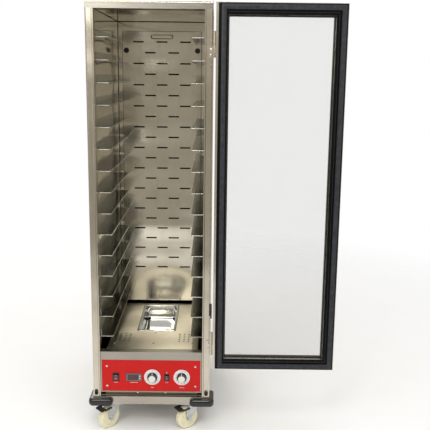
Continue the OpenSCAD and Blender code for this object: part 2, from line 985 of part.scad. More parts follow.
// The pull on the outer face, at the edge away from the hinges
module door_handle() {
    grip = 9;
    length = 220;
    reach = 42;
    x = door_left_x + 23;
    middle = (door_bottom + door_top) / 2;
    color(bright_steel)
    on_door() translate([x, door_outer_y, middle]) {
        translate([0, -reach, -length / 2]) cylinder(h = length, r = grip);
        for (side = [-1, 1]) {
            translate([0, 0, side * (length / 2 - 24)]) rotate([90, 0, 0]) {
                cylinder(h = reach, r = 7);
                cylinder(h = 5, r = 13);
            }
            translate([0, -reach, side * length / 2]) sphere(grip);
        }
    }
}

// ---------- Bumpers ----------

// A rubber buffer round the right front corner: two arms with round ends and a round outer edge
module bumper() {
    edge = 18;
    round_end = bumper_height / 2;
    outer = half_width + bumper_proud;
    side_x = half_width + 0.05;
    face_y = front_y - 0.05;
    front_end_x = inner_half - 53 + round_end;
    side_end_y = front_y + bumper_arm - round_end;
    translate([outer - edge, front_y - bumper_proud + edge, bumper_low]) intersection() {
        cylinder(h = bumper_height, r = edge);
        translate([0, -edge, 0]) cube([edge, edge, bumper_height]);
    }
    span([front_end_x, front_y - bumper_proud, bumper_low],
        [outer - edge, face_y, bumper_low + bumper_height]);
    facing_front(front_end_x, face_y, bumper_low + round_end)
        cylinder(h = bumper_proud - 0.05, r = round_end);
    span([side_x, front_y - bumper_proud + edge, bumper_low],
        [outer, side_end_y, bumper_low + bumper_height]);
    translate([side_x, side_end_y, bumper_low + round_end]) rotate([0, 90, 0])
        cylinder(h = bumper_proud - 0.05, r = round_end);
}

module corner_bumpers() {
    color(rubber_black)
    both_sides() {
        bumper();
        mirror([0, 1, 0]) bumper();
    }
}

// ---------- Casters ----------

// The children at the swivel axis of a caster at a corner, turned to its angle
module at_caster(side_x, side_y, turn) {
    translate([side_x * caster_x, side_y * (body_depth / 2 - caster_in), 0]) rotate([0, 0, turn])
        children();
}

module caster_plates() {
    color(zinc)
    for (side_x = [-1, 1], side_y = [-1, 1]) {
        at_caster(side_x, side_y, 0) difference() {
            translate([0, 0, base_bottom - caster_plate]) linear_extrude(caster_plate)
                rounded_rect(100, 70, 6);
            for (x = [-40, 40], y = [-26, 26]) {
                translate([x, y, base_bottom - 10]) cylinder(h = 20, r = 4.2);
            }
        }
    }
}

// The fork trails toward its own -Y; it carries the axle bolt with its nut
module fork(has_brake) {
    color(zinc) {
        translate([0, 0, crown_bottom + crown_sheet - 0.5])
            cylinder(h = head_top - crown_bottom - crown_sheet + 0.5, r = 27);
        translate([0, -2, crown_bottom]) linear_extrude(crown_sheet)
            rounded_rect(2 * leg_outer, 58, 4);
        for (side = [-1, 1]) {
            translate([side * (leg_inner + leg_outer) / 2, 0, 0]) rotate([90, 0, 90])
                linear_extrude(leg_outer - leg_inner, center = true) fork_side(has_brake);
        }
        translate([0, -caster_trail, wheel_radius]) rotate([0, 90, 0]) {
            cylinder(h = 2 * leg_outer + 4, r = axle_radius, center = true);
            translate([0, 0, leg_outer + 0.1]) cylinder(h = 7, r = 10, $fn = 6);
            translate([0, 0, -leg_outer - 7.1]) cylinder(h = 7, r = 10, $fn = 6);
        }
    }
}

// A leg of the fork in side view: wide at the crown and round at the axle, with the pedal's pin hole
module fork_side(has_brake) {
    axle = [-caster_trail, wheel_radius];
    difference() {
        union() {
            polygon([[-32, crown_bottom + 1], [25, crown_bottom + 1], [14, 80], axle + [13, 0],
                axle + [-13, 0], [-caster_trail - 15, 70]]);
            translate(axle) circle(13);
        }
        if (has_brake) {
            translate([-pedal_pivot_r, pedal_pivot_z]) circle(2.5 + fit);
        }
    }
}

// A wheel in half section: a round tread, a dished web and a hub
module wheel_outline() {
    half = wheel_width / 2;
    tread = 10;
    difference() {
        union() {
            translate([axle_radius + fit, -half]) square([wheel_radius - tread - axle_radius, wheel_width]);
            translate([wheel_radius - tread - 1, tread - half])
                square([tread + 1, wheel_width - 2 * tread]);
            for (side = [-1, 1]) {
                translate([wheel_radius - tread, side * (half - tread)]) circle(tread);
            }
        }
        for (side = [-1, 1]) {
            translate([20, side * half - 2.5]) square([14, 5]);
        }
    }
}

module wheel(side_x, side_y, turn) {
    color(nylon)
    at_caster(side_x, side_y, turn) translate([0, -caster_trail, wheel_radius]) rotate([0, 90, 0])
        rotate_extrude() wheel_outline();
}

// A brake pedal: two arms outside the fork's legs, and a tread plate past the wheel
module pedal() {
    arm_inner = leg_outer + 0.6;
    arm_outer = arm_inner + 2.5;
    color(plastic_black)
    translate([0, -pedal_pivot_r, pedal_pivot_z]) rotate([-pedal_rest, 0, 0]) {
        for (side = [-1, 1]) {
            translate([side * (arm_inner + arm_outer) / 2, 0, 0]) rotate([90, 0, 90])
                linear_extrude(arm_outer - arm_inner, center = true) {
                circle(4.5);
                translate([-32, -4.5]) square([32, 9]);
            }
            translate([side * (arm_outer + leg_inner) / 2, 0, 0]) rotate([0, 90, 0])
                cylinder(h = arm_outer - leg_inner, r = 2.5, center = true);
        }
        translate([0, -39, 0]) linear_extrude(4.5) rounded_rect(2 * arm_outer, 24, 5);
    }
}

module front_left_fork() {
    at_caster(-1, -1, front_left_turn) fork(true);
}

module front_right_fork() {
    at_caster(1, -1, front_right_turn) fork(true);
}

module rear_left_fork() {
    at_caster(-1, 1, rear_left_turn) fork(false);
}

module rear_right_fork() {
    at_caster(1, 1, rear_right_turn) fork(false);
}

module front_left_wheel() {
    wheel(-1, -1, front_left_turn);
}

module front_right_wheel() {
    wheel(1, -1, front_right_turn);
}

module rear_left_wheel() {
    wheel(-1, 1, rear_left_turn);
}

module rear_right_wheel() {
    wheel(1, 1, rear_right_turn);
}

module front_left_pedal() {
    at_caster(-1, -1, front_left_turn) pedal();
}

module front_right_pedal() {
    at_caster(1, -1, front_right_turn) pedal();
}

// ---------- The object ----------

base_plate();
base_beams();
left_outer_panel();
right_outer_panel();
back_panel();
top_panel();
top_cap();
front_posts();
rear_posts();
left_liner();
right_liner();
back_liner();
ceiling_liner();
insulation();
left_tray_slides();
right_tray_slides();
duct_panel();
duct_plugs();
front_floor_plate();
rear_floor_plate();
fascia();
control_panel();
cover_screws();
switch_housings();
display_bezel();
display_window();
dial_plates();
module_case();
water_heater();
air_heater();
blower_housing();
thermostats();
terminal_block();
cord_gland();
hinge_brackets();
door_stop();
corner_bumpers();
caster_plates();
power_rocker();
mode_rocker();
temperature_knob();
humidity_knob();
water_pan();
blower_wheel();
door_frame();
door_glass();
door_gasket();
glazing_bead();
door_hinge_leaves();
door_handle();
front_left_fork();
front_right_fork();
rear_left_fork();
rear_right_fork();
front_left_wheel();
front_right_wheel();
rear_left_wheel();
rear_right_wheel();
front_left_pedal();
front_right_pedal();
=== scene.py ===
# %% [markdown]
# # A proofing cabinet
# A baker's proofing cabinet keeps trays of dough warm and moist. The exact solid parts of this one
# come ready made. This lesson gives every part its finish, and adds the small shapes that the solids
# leave plain: the gasket's profile, knobs, dial marks, the pressed water pan, rubber bumpers, screws.

# %% Load the cabinet
import math
import bmesh
import bpy
import numpy as np
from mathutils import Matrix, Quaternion, Vector


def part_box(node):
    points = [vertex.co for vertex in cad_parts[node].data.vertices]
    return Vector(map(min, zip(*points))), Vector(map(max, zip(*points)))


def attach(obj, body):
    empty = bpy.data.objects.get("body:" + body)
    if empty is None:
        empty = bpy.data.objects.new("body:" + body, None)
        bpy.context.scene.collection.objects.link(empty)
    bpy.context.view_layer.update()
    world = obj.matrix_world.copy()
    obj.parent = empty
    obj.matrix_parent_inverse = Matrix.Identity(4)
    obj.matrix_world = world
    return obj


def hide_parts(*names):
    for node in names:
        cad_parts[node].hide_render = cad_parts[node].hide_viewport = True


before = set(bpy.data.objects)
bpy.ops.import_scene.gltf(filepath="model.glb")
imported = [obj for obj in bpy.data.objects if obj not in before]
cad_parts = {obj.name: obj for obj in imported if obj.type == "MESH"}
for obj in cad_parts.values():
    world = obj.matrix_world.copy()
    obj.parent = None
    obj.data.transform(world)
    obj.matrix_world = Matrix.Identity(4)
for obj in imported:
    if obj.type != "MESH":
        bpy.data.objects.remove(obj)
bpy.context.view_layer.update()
MM = 0.001

# %% [markdown]
# ## Shader sums
# A finish is a small network of nodes. Adding each Math node by hand is long and hard to read, so
# one class wraps an output socket and lets + - and * add the Math nodes. A second class holds the
# material, and one method of it adds any other node.

# %% A socket that can be used in sums
class Wire:
    """One output socket. Sums with it add Math nodes to its finish."""

    def __init__(self, finish, socket):
        self.finish, self.socket = finish, socket

    def math(self, operation, *values):
        return self.finish.add("ShaderNodeMath", {"operation": operation}, dict(enumerate(values)))

    def __add__(self, other):
        return self.math("ADD", self, other)

    def __sub__(self, other):
        return self.math("SUBTRACT", self, other)

    def __rsub__(self, other):
        return self.math("SUBTRACT", other, self)

    def __mul__(self, other):
        return self.math("MULTIPLY", self, other)

    def between(self, low, high):
        """0 under low, 1 over high, and a straight ramp in between."""
        return self.finish.add("ShaderNodeMapRange", None, {"Value": self, "From Min": low, "From Max": high})

    __radd__ = __add__
    __rmul__ = __mul__


# %% A finish with one method for every other node
class Finish:
    """A material in the making. place is a surface point's position in metres."""

    def __init__(self, name):
        self.material = bpy.data.materials.new(name)
        self.material.use_nodes = True
        self.tree = self.material.node_tree
        self.tree.nodes.clear()
        self.place = self.add("ShaderNodeTexCoord", output="Object")

    def add(self, kind, settings=None, values=None, output=0):
        """Adds a node: its settings first, then a value or a link for each input that is named."""
        node = self.tree.nodes.new(kind)
        for key, value in (settings or {}).items():
            setattr(node, key, value)
        for key, value in (values or {}).items():
            if isinstance(value, Wire):
                self.tree.links.new(value.socket, node.inputs[key])
            else:
                node.inputs[key].default_value = value
        return Wire(self, node.outputs[output])

    def axis(self, letter):
        """One coordinate of the surface point: X, Y or Z."""
        return self.add("ShaderNodeSeparateXYZ", None, {0: self.place}, letter)

    def noise(self, scale, stretch=(1, 1, 1), detail=3, rough=0.55):
        """Soft random patches; a big number in stretch packs them closer along that axis."""
        spot = self.add("ShaderNodeMapping", None, {"Vector": self.place, "Scale": stretch})
        return self.add("ShaderNodeTexNoise", None, {"Vector": spot, "Scale": scale, "Detail": detail,
                                                     "Roughness": rough})

    def blend(self, amount, first, second):
        """The first colour where amount is 0, and the second where it is 1."""
        ends = [end if isinstance(end, Wire) else (*end, 1) for end in (first, second)]
        return self.add("ShaderNodeMix", {"data_type": "RGBA"}, {0: amount, 6: ends[0], 7: ends[1]}, 2)

    def bump(self, height, strength, distance, under=None):
        values = {"Height": height, "Strength": strength, "Distance": distance}
        return self.add("ShaderNodeBump", None, {**values, "Normal": under} if under else values)

    def done(self, **sockets):
        """Ends the finish with a Principled shader; an underscore in a name stands for a space."""
        values = {key.replace("_", " "): value for key, value in sockets.items()}
        shader = self.add("ShaderNodeBsdfPrincipled", None, values)
        end = self.tree.nodes.new("ShaderNodeOutputMaterial")
        self.tree.links.new(shader.socket, end.inputs["Surface"])
        return self.material


# %% [markdown]
# ## Sheet steel
# Most of the cabinet is stainless sheet. Up close it has a fine grain along the way it was rolled.
# From afar its colour is what it mirrors, broken up by a slight sag between folds, by wiped smears,
# and by the warm tint of the metal. The sag is a bump of broad soft patches, which makes mirrored
# edges wander as they do in a real sheet.

# %% Stainless sheet in several grades
def shaded(colour, factor):
    return tuple(min(1.0, part * factor) for part in colour)


def sheet_steel(name, colour, along, roughness, sag=0.3, smear=0.12, folds=(), painted_shade_below=None):
    """Grain along axis 0, 1 or 2: noise squeezed 75 times closer across the grain than along it.
    folds are distances from the middle plane where the sheet is folded: along each one the colour is
    painted dark as the shade in the crease, and a bump makes the groove. The last argument is the height
    and half width of a cover, behind which the sheet is painted nearly black as the cover's shade."""
    finish = Finish(name)
    from_middle = finish.axis("X").math("ABSOLUTE", finish.axis("X"))
    across = [900.0, 900.0, 900.0]
    across[along] = 12.0
    wiped = [16.0, 16.0, 16.0]
    wiped[along] = 3.0
    grain = finish.noise(1.0, across, 2, 0.6)
    clouds = finish.noise(3.5, detail=4)
    smears = finish.noise(1.0, wiped, 4, 0.65)
    colour_map = finish.blend(clouds.between(0.35, 0.68), shaded(colour, 0.9), shaded(colour, 1.06))
    colour_map = finish.blend(smears.between(0.52, 0.72) * 0.35, colour_map, shaded(colour, 0.72))
    colour_map = finish.blend(grain.between(0.45, 0.8) * 0.3, colour_map, shaded(colour, 0.78))
    normal = finish.bump(finish.noise(1.0, (2.0, 2.6, 4.5), 1), sag, 0.03)
    normal = finish.bump(grain, 0.08, 0.0005, normal)
    for fold in folds:
        offset = from_middle - fold
        # Painted shade along each fold, and a bump for its groove
        fold_groove_and_shade = 1 - offset.math("ABSOLUTE", offset).between(0.0004, 0.0016)
        colour_map = finish.blend(fold_groove_and_shade * 0.75, colour_map, shaded(colour, 0.25))
        normal = finish.bump(1 - fold_groove_and_shade, 0.6, 0.001, normal)
    if painted_shade_below:
        # Painted shade: behind the cover the colour goes nearly black
        top, half_width = painted_shade_below
        behind = 1 - finish.axis("Z").between(top - 0.004, top)
        behind = behind * (1 - from_middle.between(half_width - 0.004, half_width))
        colour_map = finish.blend(behind, colour_map, (0.012, 0.011, 0.009))
    rough = (smears - 0.5) * smear + (grain - 0.5) * 0.08 + roughness
    return finish.done(Base_Color=colour_map, Metallic=1.0, Roughness=rough, Normal=normal)


warm = (0.66, 0.61, 0.52)
upright_steel = sheet_steel("steel, grain upright", warm, 2, 0.27)
side_steel = sheet_steel("side panels", warm, 2, 0.24, 0.25)
back_skin = sheet_steel("back panel", warm, 2, 0.26, 0.25)
# The posts' fold line is painted dark as the shade in its crease
post_steel = sheet_steel("front posts", (0.64, 0.59, 0.49), 2, 0.25, folds=(0.2235,))
level_steel = sheet_steel("steel, grain level", (0.47, 0.44, 0.385), 0, 0.28)
lining_steel = sheet_steel("bright lining", (0.72, 0.68, 0.58), 2, 0.09, 0.5, 0.06)
duct_low, duct_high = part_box("duct_panel")
# Below the duct cover's top and within its width this lining is painted nearly black as shade
back_steel = sheet_steel("back lining", (0.72, 0.68, 0.58), 2, 0.1, 0.5, 0.06,
                         painted_shade_below=(float(duct_high[2]), float(duct_high[0])))
duct_steel = sheet_steel("duct cover", (0.70, 0.66, 0.56), 2, 0.15, 0.8)
# The floor plates are the same stainless, painted near white as the light falling on the chamber floor
lit_floor_steel = sheet_steel("chamber floor, painted light", (0.97, 0.91, 0.77), 0, 0.33, 0.8)
# The slides are the same stainless as the lining, painted far darker as the shade between the ledges
shaded_slide_steel = sheet_steel("folded slides, painted shade", (0.33, 0.34, 0.31), 1, 0.14, 0.3)
satin_steel = sheet_steel("satin fascia", (0.42, 0.395, 0.345), 0, 0.38, 0.2)
shadow_steel = sheet_steel("sheet in the foot", (0.13, 0.11, 0.08), 2, 0.3, 0.2)
hidden_steel = sheet_steel("plain sheet", (0.36, 0.34, 0.30), 0, 0.45, 0.1)
print("finishes so far:", len(bpy.data.materials))

# %% [markdown]
# ## Plated and polished metal
# The pressed pan and the handle are polished, so they are almost mirrors with hairlines. The forks
# are zinc plated: the zinc sets in flat crystals, and each one is a slightly different grey.

# %% Polished steel, zinc and bare alloy
def polished_steel(name, colour, roughness, hair=0.04):
    finish = Finish(name)
    hairs = finish.noise(1.0, (30, 900, 900), 2, 0.7)
    haze = finish.noise(9.0, detail=3)
    tone = finish.blend(haze.between(0.35, 0.7), shaded(colour, 0.93), colour)
    normal = finish.bump(hairs, 0.04, 0.0004, finish.bump(finish.noise(7.0, detail=1), 0.12, 0.004))
    rough = (hairs - 0.5) * hair + roughness
    return finish.done(Base_Color=tone, Metallic=1.0, Roughness=rough, Normal=normal)


def zinc_plate(name):
    finish = Finish(name)
    crystals = finish.add("ShaderNodeTexVoronoi", None, {"Vector": finish.place, "Scale": 260.0}, "Color")
    grey = finish.add("ShaderNodeRGBToBW", None, {0: crystals})
    dust = finish.noise(30.0, detail=5, rough=0.7)
    tone = finish.blend(grey, (0.50, 0.52, 0.52), (0.66, 0.68, 0.67))
    tone = finish.blend(dust.between(0.55, 0.75) * 0.5, tone, (0.36, 0.34, 0.30))
    return finish.done(Base_Color=tone, Metallic=1.0, Roughness=grey * 0.12 + dust * 0.15 + 0.22,
                       Normal=finish.bump(dust, 0.15, 0.0004))


pan_steel = polished_steel("pressed pan", (0.86, 0.86, 0.84), 0.07)
bar_steel = polished_steel("polished bar", (0.78, 0.77, 0.73), 0.14)
screw_steel = polished_steel("screw heads", (0.78, 0.77, 0.71), 0.2)
zinc = zinc_plate("zinc plate")
alloy = sheet_steel("bare alloy", (0.72, 0.73, 0.75), 0, 0.35, 0.1)

# %% [markdown]
# ## Paint, plastic, rubber and glass
# The control panel is glossy red enamel with a fine orange peel. Moulded plastics have a fine even
# grain. Rubber is nearly black and shiny, and dusty in patches. Nylon wheels are cream, a little
# yellower where they rolled. Each is a small change of the same recipe, so one function makes them.

# %% One recipe for all that isn't metal
def moulded(name, colour, worn, roughness, grain_scale=900.0, grain=0.15, patches=14.0, coat=0.0,
            shine=0.5):
    """Colour drifts to a worn tone in soft patches; a fine grain gives the bump."""
    finish = Finish(name)
    drift = finish.noise(patches, detail=5, rough=0.65)
    skin = finish.noise(grain_scale, detail=1)
    tone = finish.blend(drift.between(0.42, 0.78), colour, worn)
    return finish.done(Base_Color=tone, Roughness=(drift - 0.5) * 0.16 + roughness, Coat_Weight=coat,
                       Coat_Roughness=0.08, Specular_IOR_Level=shine, Normal=finish.bump(skin, grain, 0.0002))


red_enamel = moulded("red enamel", (0.58, 0.007, 0.006), (0.52, 0.008, 0.007), 0.36, 260.0, 0.08, 5.0,
                     coat=0.08, shine=0.2)
nylon = moulded("cream nylon", (0.83, 0.80, 0.58), (0.76, 0.68, 0.42), 0.36, 500.0, 0.08, 22.0, coat=0.1)
rubber = moulded("bumper rubber", (0.003, 0.003, 0.003), (0.006, 0.006, 0.006), 0.13, 1200.0, 0.03, 18.0,
                 coat=0.3)
black_plastic = moulded("black plastic", (0.010, 0.010, 0.011), (0.02, 0.02, 0.02), 0.42)
glossy_black = moulded("glossy black", (0.008, 0.008, 0.009), (0.014, 0.014, 0.014), 0.14, 700.0, 0.05, 30.0,
                       coat=0.9)
grey_plastic = moulded("grey plastic", (0.13, 0.13, 0.13), (0.10, 0.10, 0.10), 0.42)
white_plastic = moulded("white plastic", (0.86, 0.86, 0.85), (0.79, 0.79, 0.77), 0.34, 700.0, 0.05, 30.0,
                        coat=0.2)
ivory_plastic = moulded("ivory block", (0.72, 0.70, 0.60), (0.62, 0.59, 0.47), 0.45)
dark_window = moulded("display window", (0.012, 0.010, 0.010), (0.018, 0.014, 0.014), 0.1, 900.0, 0.01, 20.0,
                      coat=0.6)
blue_ink = moulded("blue ink", (0.05, 0.09, 0.42), (0.08, 0.12, 0.45), 0.5)
red_ink = moulded("red ink", (0.55, 0.03, 0.03), (0.5, 0.06, 0.05), 0.5)
white_ink = moulded("white ink", (0.82, 0.80, 0.78), (0.70, 0.66, 0.64), 0.5)
# Real sealant in the chamber's corners; the same dark colour is also painted as shade at the pan's rim, the
# duct cover's edges and the pull
sealant_and_shade = moulded("dark sealant and painted shade", (0.045, 0.036, 0.028), (0.09, 0.075, 0.055), 0.5, 300.0, 0.3)
cap_metal = moulded("satin knob cap", (0.80, 0.80, 0.76), (0.66, 0.62, 0.52), 0.3, 700.0, 0.05, 160.0,
                    coat=0.3)


def mineral_wool(name):
    finish = Finish(name)
    strands = finish.noise(1.0, (60, 420, 420), 6, 0.75)
    tone = finish.blend(strands.between(0.3, 0.7), (0.42, 0.34, 0.14), (0.74, 0.66, 0.36))
    return finish.done(Base_Color=tone, Roughness=0.95, Normal=finish.bump(strands, 0.8, 0.004))


def lit_lens(name, colour, glow):
    finish = Finish(name)
    fine = finish.noise(600.0, detail=2)
    light = finish.blend(fine.between(0.2, 0.8), shaded(colour, 0.7), colour)
    return finish.done(Base_Color=light, Roughness=0.2, Emission_Color=light, Emission_Strength=glow,
                       Normal=finish.bump(fine, 0.1, 0.0002))


wool = mineral_wool("mineral wool")
red_lens = lit_lens("red lens", (0.55, 0.02, 0.015), 0.35)
red_digits = lit_lens("red digits", (0.30, 0.012, 0.008), 0.12)

# %% [markdown]
# ## Door glass
# The door has two clear panes with air between. Seen on white, clear glass darkens it a little and
# tints it green-grey, more so at the fingermarks near its edges. Each face lets most light through,
# so Alpha is low, and the low roughness gives the sheen.

# %% Panes and gasket
def pane_glass(name):
    finish = Finish(name)
    film = finish.noise(2.2, detail=4, rough=0.6)
    wiped = finish.noise(1.0, (5, 5, 26), 4, 0.7)
    haze = film.between(0.4, 0.8) * 0.5 + wiped.between(0.55, 0.85) * 0.5
    tint = finish.blend(haze, (0.17, 0.18, 0.155), (0.30, 0.31, 0.28))
    return finish.done(Base_Color=tint, Roughness=haze * 0.06 + 0.03, Alpha=haze * 0.02 + 0.058, IOR=1.45,
                       Normal=finish.bump(film, 0.02, 0.001))


def gasket_rubber(name):
    """Slate on the magnetic pad and the lips, partly the rubber's own grey and partly a painted sheen;
    near black in the folds as painted shade. The piece's point attribute says where.
    """
    finish = Finish(name)
    lit_face = finish.add("ShaderNodeAttribute", {"attribute_name": "lit_face"}, output="Fac")
    streaks = finish.noise(1.0, (60, 60, 60), 4, 0.6)
    grain = finish.noise(1500.0, detail=1)
    slate = finish.blend(streaks.between(0.35, 0.7), (0.028, 0.030, 0.036), (0.050, 0.053, 0.060))
    # Painted shade: near black in the folds; slate where the profile faces out, partly a painted sheen
    tone = finish.blend(lit_face, (0.001, 0.001, 0.0015), slate)
    return finish.done(Base_Color=tone, Roughness=(streaks - 0.5) * 0.15 + 0.4, Specular_IOR_Level=0.15,
                       Normal=finish.bump(grain, 0.15, 0.0002))


glass = pane_glass("pane glass")
gasket_black = gasket_rubber("gasket rubber")
print("finishes:", len(bpy.data.materials))

# %% [markdown]
# ## Finishes on the solid parts
# The solid parts keep their shapes. Each one only gets its material.

# %% Which part has which finish
finish_of = {
    post_steel: "front_posts",
    side_steel: "left_outer_panel right_outer_panel",
    back_skin: "back_panel",
    upright_steel: "hinge_brackets door_frame door_hinge_leaves",
    level_steel: "top_cap top_panel base_beams",
    satin_steel: "fascia",
    shadow_steel: "module_case",
    lining_steel: "left_liner right_liner ceiling_liner",
    back_steel: "back_liner",
    duct_steel: "duct_panel",
    lit_floor_steel: "front_floor_plate rear_floor_plate",
    shaded_slide_steel: "left_tray_slides right_tray_slides",
    hidden_steel: "base_plate rear_posts water_heater air_heater blower_housing thermostats",
    zinc: "caster_plates front_left_fork front_right_fork rear_left_fork rear_right_fork",
    alloy: "blower_wheel",
    pan_steel: "water_pan",
    bar_steel: "door_handle",
    screw_steel: "cover_screws",
    red_enamel: "control_panel",
    nylon: "front_left_wheel front_right_wheel rear_left_wheel rear_right_wheel",
    rubber: "corner_bumpers door_stop",
    black_plastic: "duct_plugs switch_housings cord_gland glazing_bead front_left_pedal front_right_pedal",
    glossy_black: "power_rocker mode_rocker temperature_knob humidity_knob",
    grey_plastic: "display_bezel",
    dark_window: "display_window",
    white_plastic: "dial_plates",
    ivory_plastic: "terminal_block",
    wool: "insulation",
    glass: "door_glass",
    gasket_black: "door_gasket",
}
done_nodes = set()
for material, names in finish_of.items():
    for name in names.split():
        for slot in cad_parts[name].material_slots:
            slot.material = material
        done_nodes.add(name)
print("parts without a finish:", sorted(set(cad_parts) - done_nodes))

# %% [markdown]
# ## Surfaces from grids
# Every added shape is a grid of points worked out with numpy. Rows follow a profile or a path, and
# columns go round. Neighbouring points make the faces, and the two end rings are closed with one
# face each, or the rows wrap round as in a ring.

# %% From grids to an object
def grid_faces(rows, columns, wrap, first):
    """Four-sided faces between neighbouring points; columns always wrap, rows wrap if asked."""
    row = np.arange(rows if wrap else rows - 1)[:, None]
    column = np.arange(columns)[None, :]
    below, beside = (row + 1) % rows, (column + 1) % columns
    corners = (row * columns + column, row * columns + beside,
               below * columns + beside, below * columns + column)
    faces = (np.stack(np.broadcast_arrays(*corners), -1).reshape(-1, 4) + first).tolist()
    if not wrap:
        ring = np.arange(columns) + first
        faces += [ring[::-1].tolist(), (ring + (rows - 1) * columns).tolist()]
    return faces


def surface(name, grids, material, body, wrap=False, stands_for=(), sharp=38):
    """Makes one object of one or more closed grids, with its faces pointing out, riding on a body."""
    points, faces = [], []
    for grid in grids:
        rows, columns = grid.shape[:2]
        faces += grid_faces(rows, columns, wrap, sum(len(part) for part in points))
        points.append(grid.reshape(-1, 3))
    mesh = bpy.data.meshes.new(name)
    mesh.from_pydata(np.concatenate(points).tolist(), [], faces)
    work = bmesh.new()
    work.from_mesh(mesh)
    bmesh.ops.recalc_face_normals(work, faces=work.faces)
    work.to_mesh(mesh)
    work.free()
    mesh.shade_smooth()
    mesh.set_sharp_from_angle(angle=math.radians(sharp))
    mesh.materials.append(material)
    piece = bpy.data.objects.new(name, mesh)
    bpy.context.collection.objects.link(piece)
    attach(piece, body)
    if stands_for:
        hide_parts(*stands_for)
    return piece


def turned(profile, columns=48, centre=(0, 0), dent=None):
    """A profile of (radius, height) turned about Z: x = r cos t, y = r sin t, z = height.
    dent(r, t, height) may take something off the height."""
    profile = np.array(profile, float)
    t = np.linspace(0, 2 * np.pi, columns, endpoint=False)[None, :]
    r, z = profile[:, :1], profile[:, 1:2] + 0 * t
    if dent:
        z = z - dent(r + 0 * t, t + 0 * r, z)
    return np.stack([r * np.cos(t) + centre[0], r * np.sin(t) + centre[1], z], -1)


def onto_front(grid, place, lean=0.0):
    """Turns a shape so that its Z points to the front (-Y) and its Y points up, at a place in mm.
    lean tips it back about X, in degrees. The result is in metres."""
    c, s = math.cos(math.radians(lean)), math.sin(math.radians(lean))
    x, y, z = grid[..., 0], grid[..., 1], grid[..., 2]
    moved = np.stack([x, -(z * c) - y * s, y * c - z * s], -1)
    return (moved + np.array(place)) * MM


def onto_back(grid, place):
    """The same for the back: Z points to +Y."""
    return (np.stack([-grid[..., 0], grid[..., 2], grid[..., 1]], -1) + np.array(place)) * MM


def loop(width, height, radius, z, steps=7):
    """A rounded rectangle: a quarter circle at each corner, joined by straight sides."""
    quarter = np.linspace(0, np.pi / 2, steps)
    t = np.concatenate([quarter + k * np.pi / 2 for k in range(4)])
    side_x = np.repeat([1, -1, -1, 1], steps) * (width / 2 - radius)
    side_y = np.repeat([1, 1, -1, -1], steps) * (height / 2 - radius)
    return np.stack([side_x + radius * np.cos(t), side_y + radius * np.sin(t), 0 * t + z], -1)


def pill(width, height, depth, radius=0.6, edge=0.25):
    """A thin pad with round corners and a softened front edge, from Z = 0 to Z = depth."""
    inner = max(radius - edge, 0.05)
    return np.stack([loop(width, height, radius, 0), loop(width, height, radius, depth - edge),
                     loop(width - 0.6 * edge, height - 0.6 * edge, radius, depth - 0.3 * edge),
                     loop(width - 2 * edge, height - 2 * edge, inner, depth)])


print("surface helpers ready")

# %% [markdown]
# ## The door's gasket
# The inside of the door shows a black rubber profile: an outer lip, a wide slate-grey pad with the
# magnet in it, a deep fold, a small inner lip, and a skirt down to the glass. Its section could be a
# curve with a bevel, but the hinge side is set further in than the other sides. So each point of the
# section is offset from all four door edges by its own amount, and the corners come out mitred.

# %% Sweep the section round the door
frame_box, gasket_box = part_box("door_frame"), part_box("door_gasket")
free_side = [2, 2, 5.2, 6.2, 7.6, 10, 17, 24, 27, 28, 29, 31.5, 32.6, 34, 35.6, 36.8, 37.6, 44.6, 45.8, 45.8]
hinge_side = [9.5, 9.5, 17, 19, 20.6, 23, 30, 36.5, 39.5, 40.4, 41, 41.8, 42.2, 42.8, 43.6, 44, 44.4, 45.2,
              45.8, 45.8]
rise = [-.3, 2, 2.4, 4.5, 6.6, 7.6, 7.9, 7.6, 6.6, 3.4, 1.2, 1.0, 2.9, 4.2, 4.2, 2.6, 1.2, 1.0, 0.8, -.3]
# Per section point: 1 on the pad and lips, painted slate as their lit faces; 0 in the folds, painted black as
# shade
lit_face_at = [0, 0, 0, 0, .6, 1, 1, 1, .6, 0, 0, 0, .2, .5, .5, .1, 0, 0, 0, 0]
free_in, hinge_in, up = (np.array(v) * MM for v in (free_side, hinge_side, rise))
face_y = float(gasket_box[1][1])
left, right = frame_box[0][0] + hinge_in, frame_box[1][0] - free_in
low, high = frame_box[0][2] + free_in, frame_box[1][2] - free_in
ring = np.stack([np.stack([x, face_y - up, z], -1)
                 for x, z in ((left, low), (right, low), (right, high), (left, high))], 1)
gasket = surface("gasket_ring", [ring], gasket_black, "door", wrap=True,
                 stands_for=["door_gasket"], sharp=30)
lit_face_values = gasket.data.attributes.new("lit_face", "FLOAT", "POINT")
lit_face_values.data.foreach_set("value", np.repeat(lit_face_at, 4).astype(np.float32))
print("gasket faces:", len(gasket.data.polygons))

# %% [markdown]
# ## Screws and rivets
# A screw head is a low dome with a crossed recess. On a polar grid the dome is a height, and the
# recess is taken off that height near the two cross lines, so no boolean is needed.

# %% Domes with a crossed recess
def cross_recess(r, t, z):
    x, y = r * np.cos(t), r * np.sin(t)
    near = np.minimum(np.abs(x), np.abs(y))
    return np.where((near < 0.5) & (r < 2.5) & (z > 0.5), 0.8, 0.0)


def dome(radius, height, recess=True):
    """Height falls as a circle's arc from the middle: h * sqrt(1 - (r / R)^2)."""
    r = np.concatenate([np.linspace(1, 0.95, 2), np.linspace(0.9, 0.1, 9)]) * radius
    z = height * np.sqrt(np.maximum(0, 1 - (r / radius) ** 2)) + 0.15
    profile = np.stack([np.r_[radius, r], np.r_[-0.2, z]], -1)
    return turned(profile, 40, dent=cross_recess if recess else None)


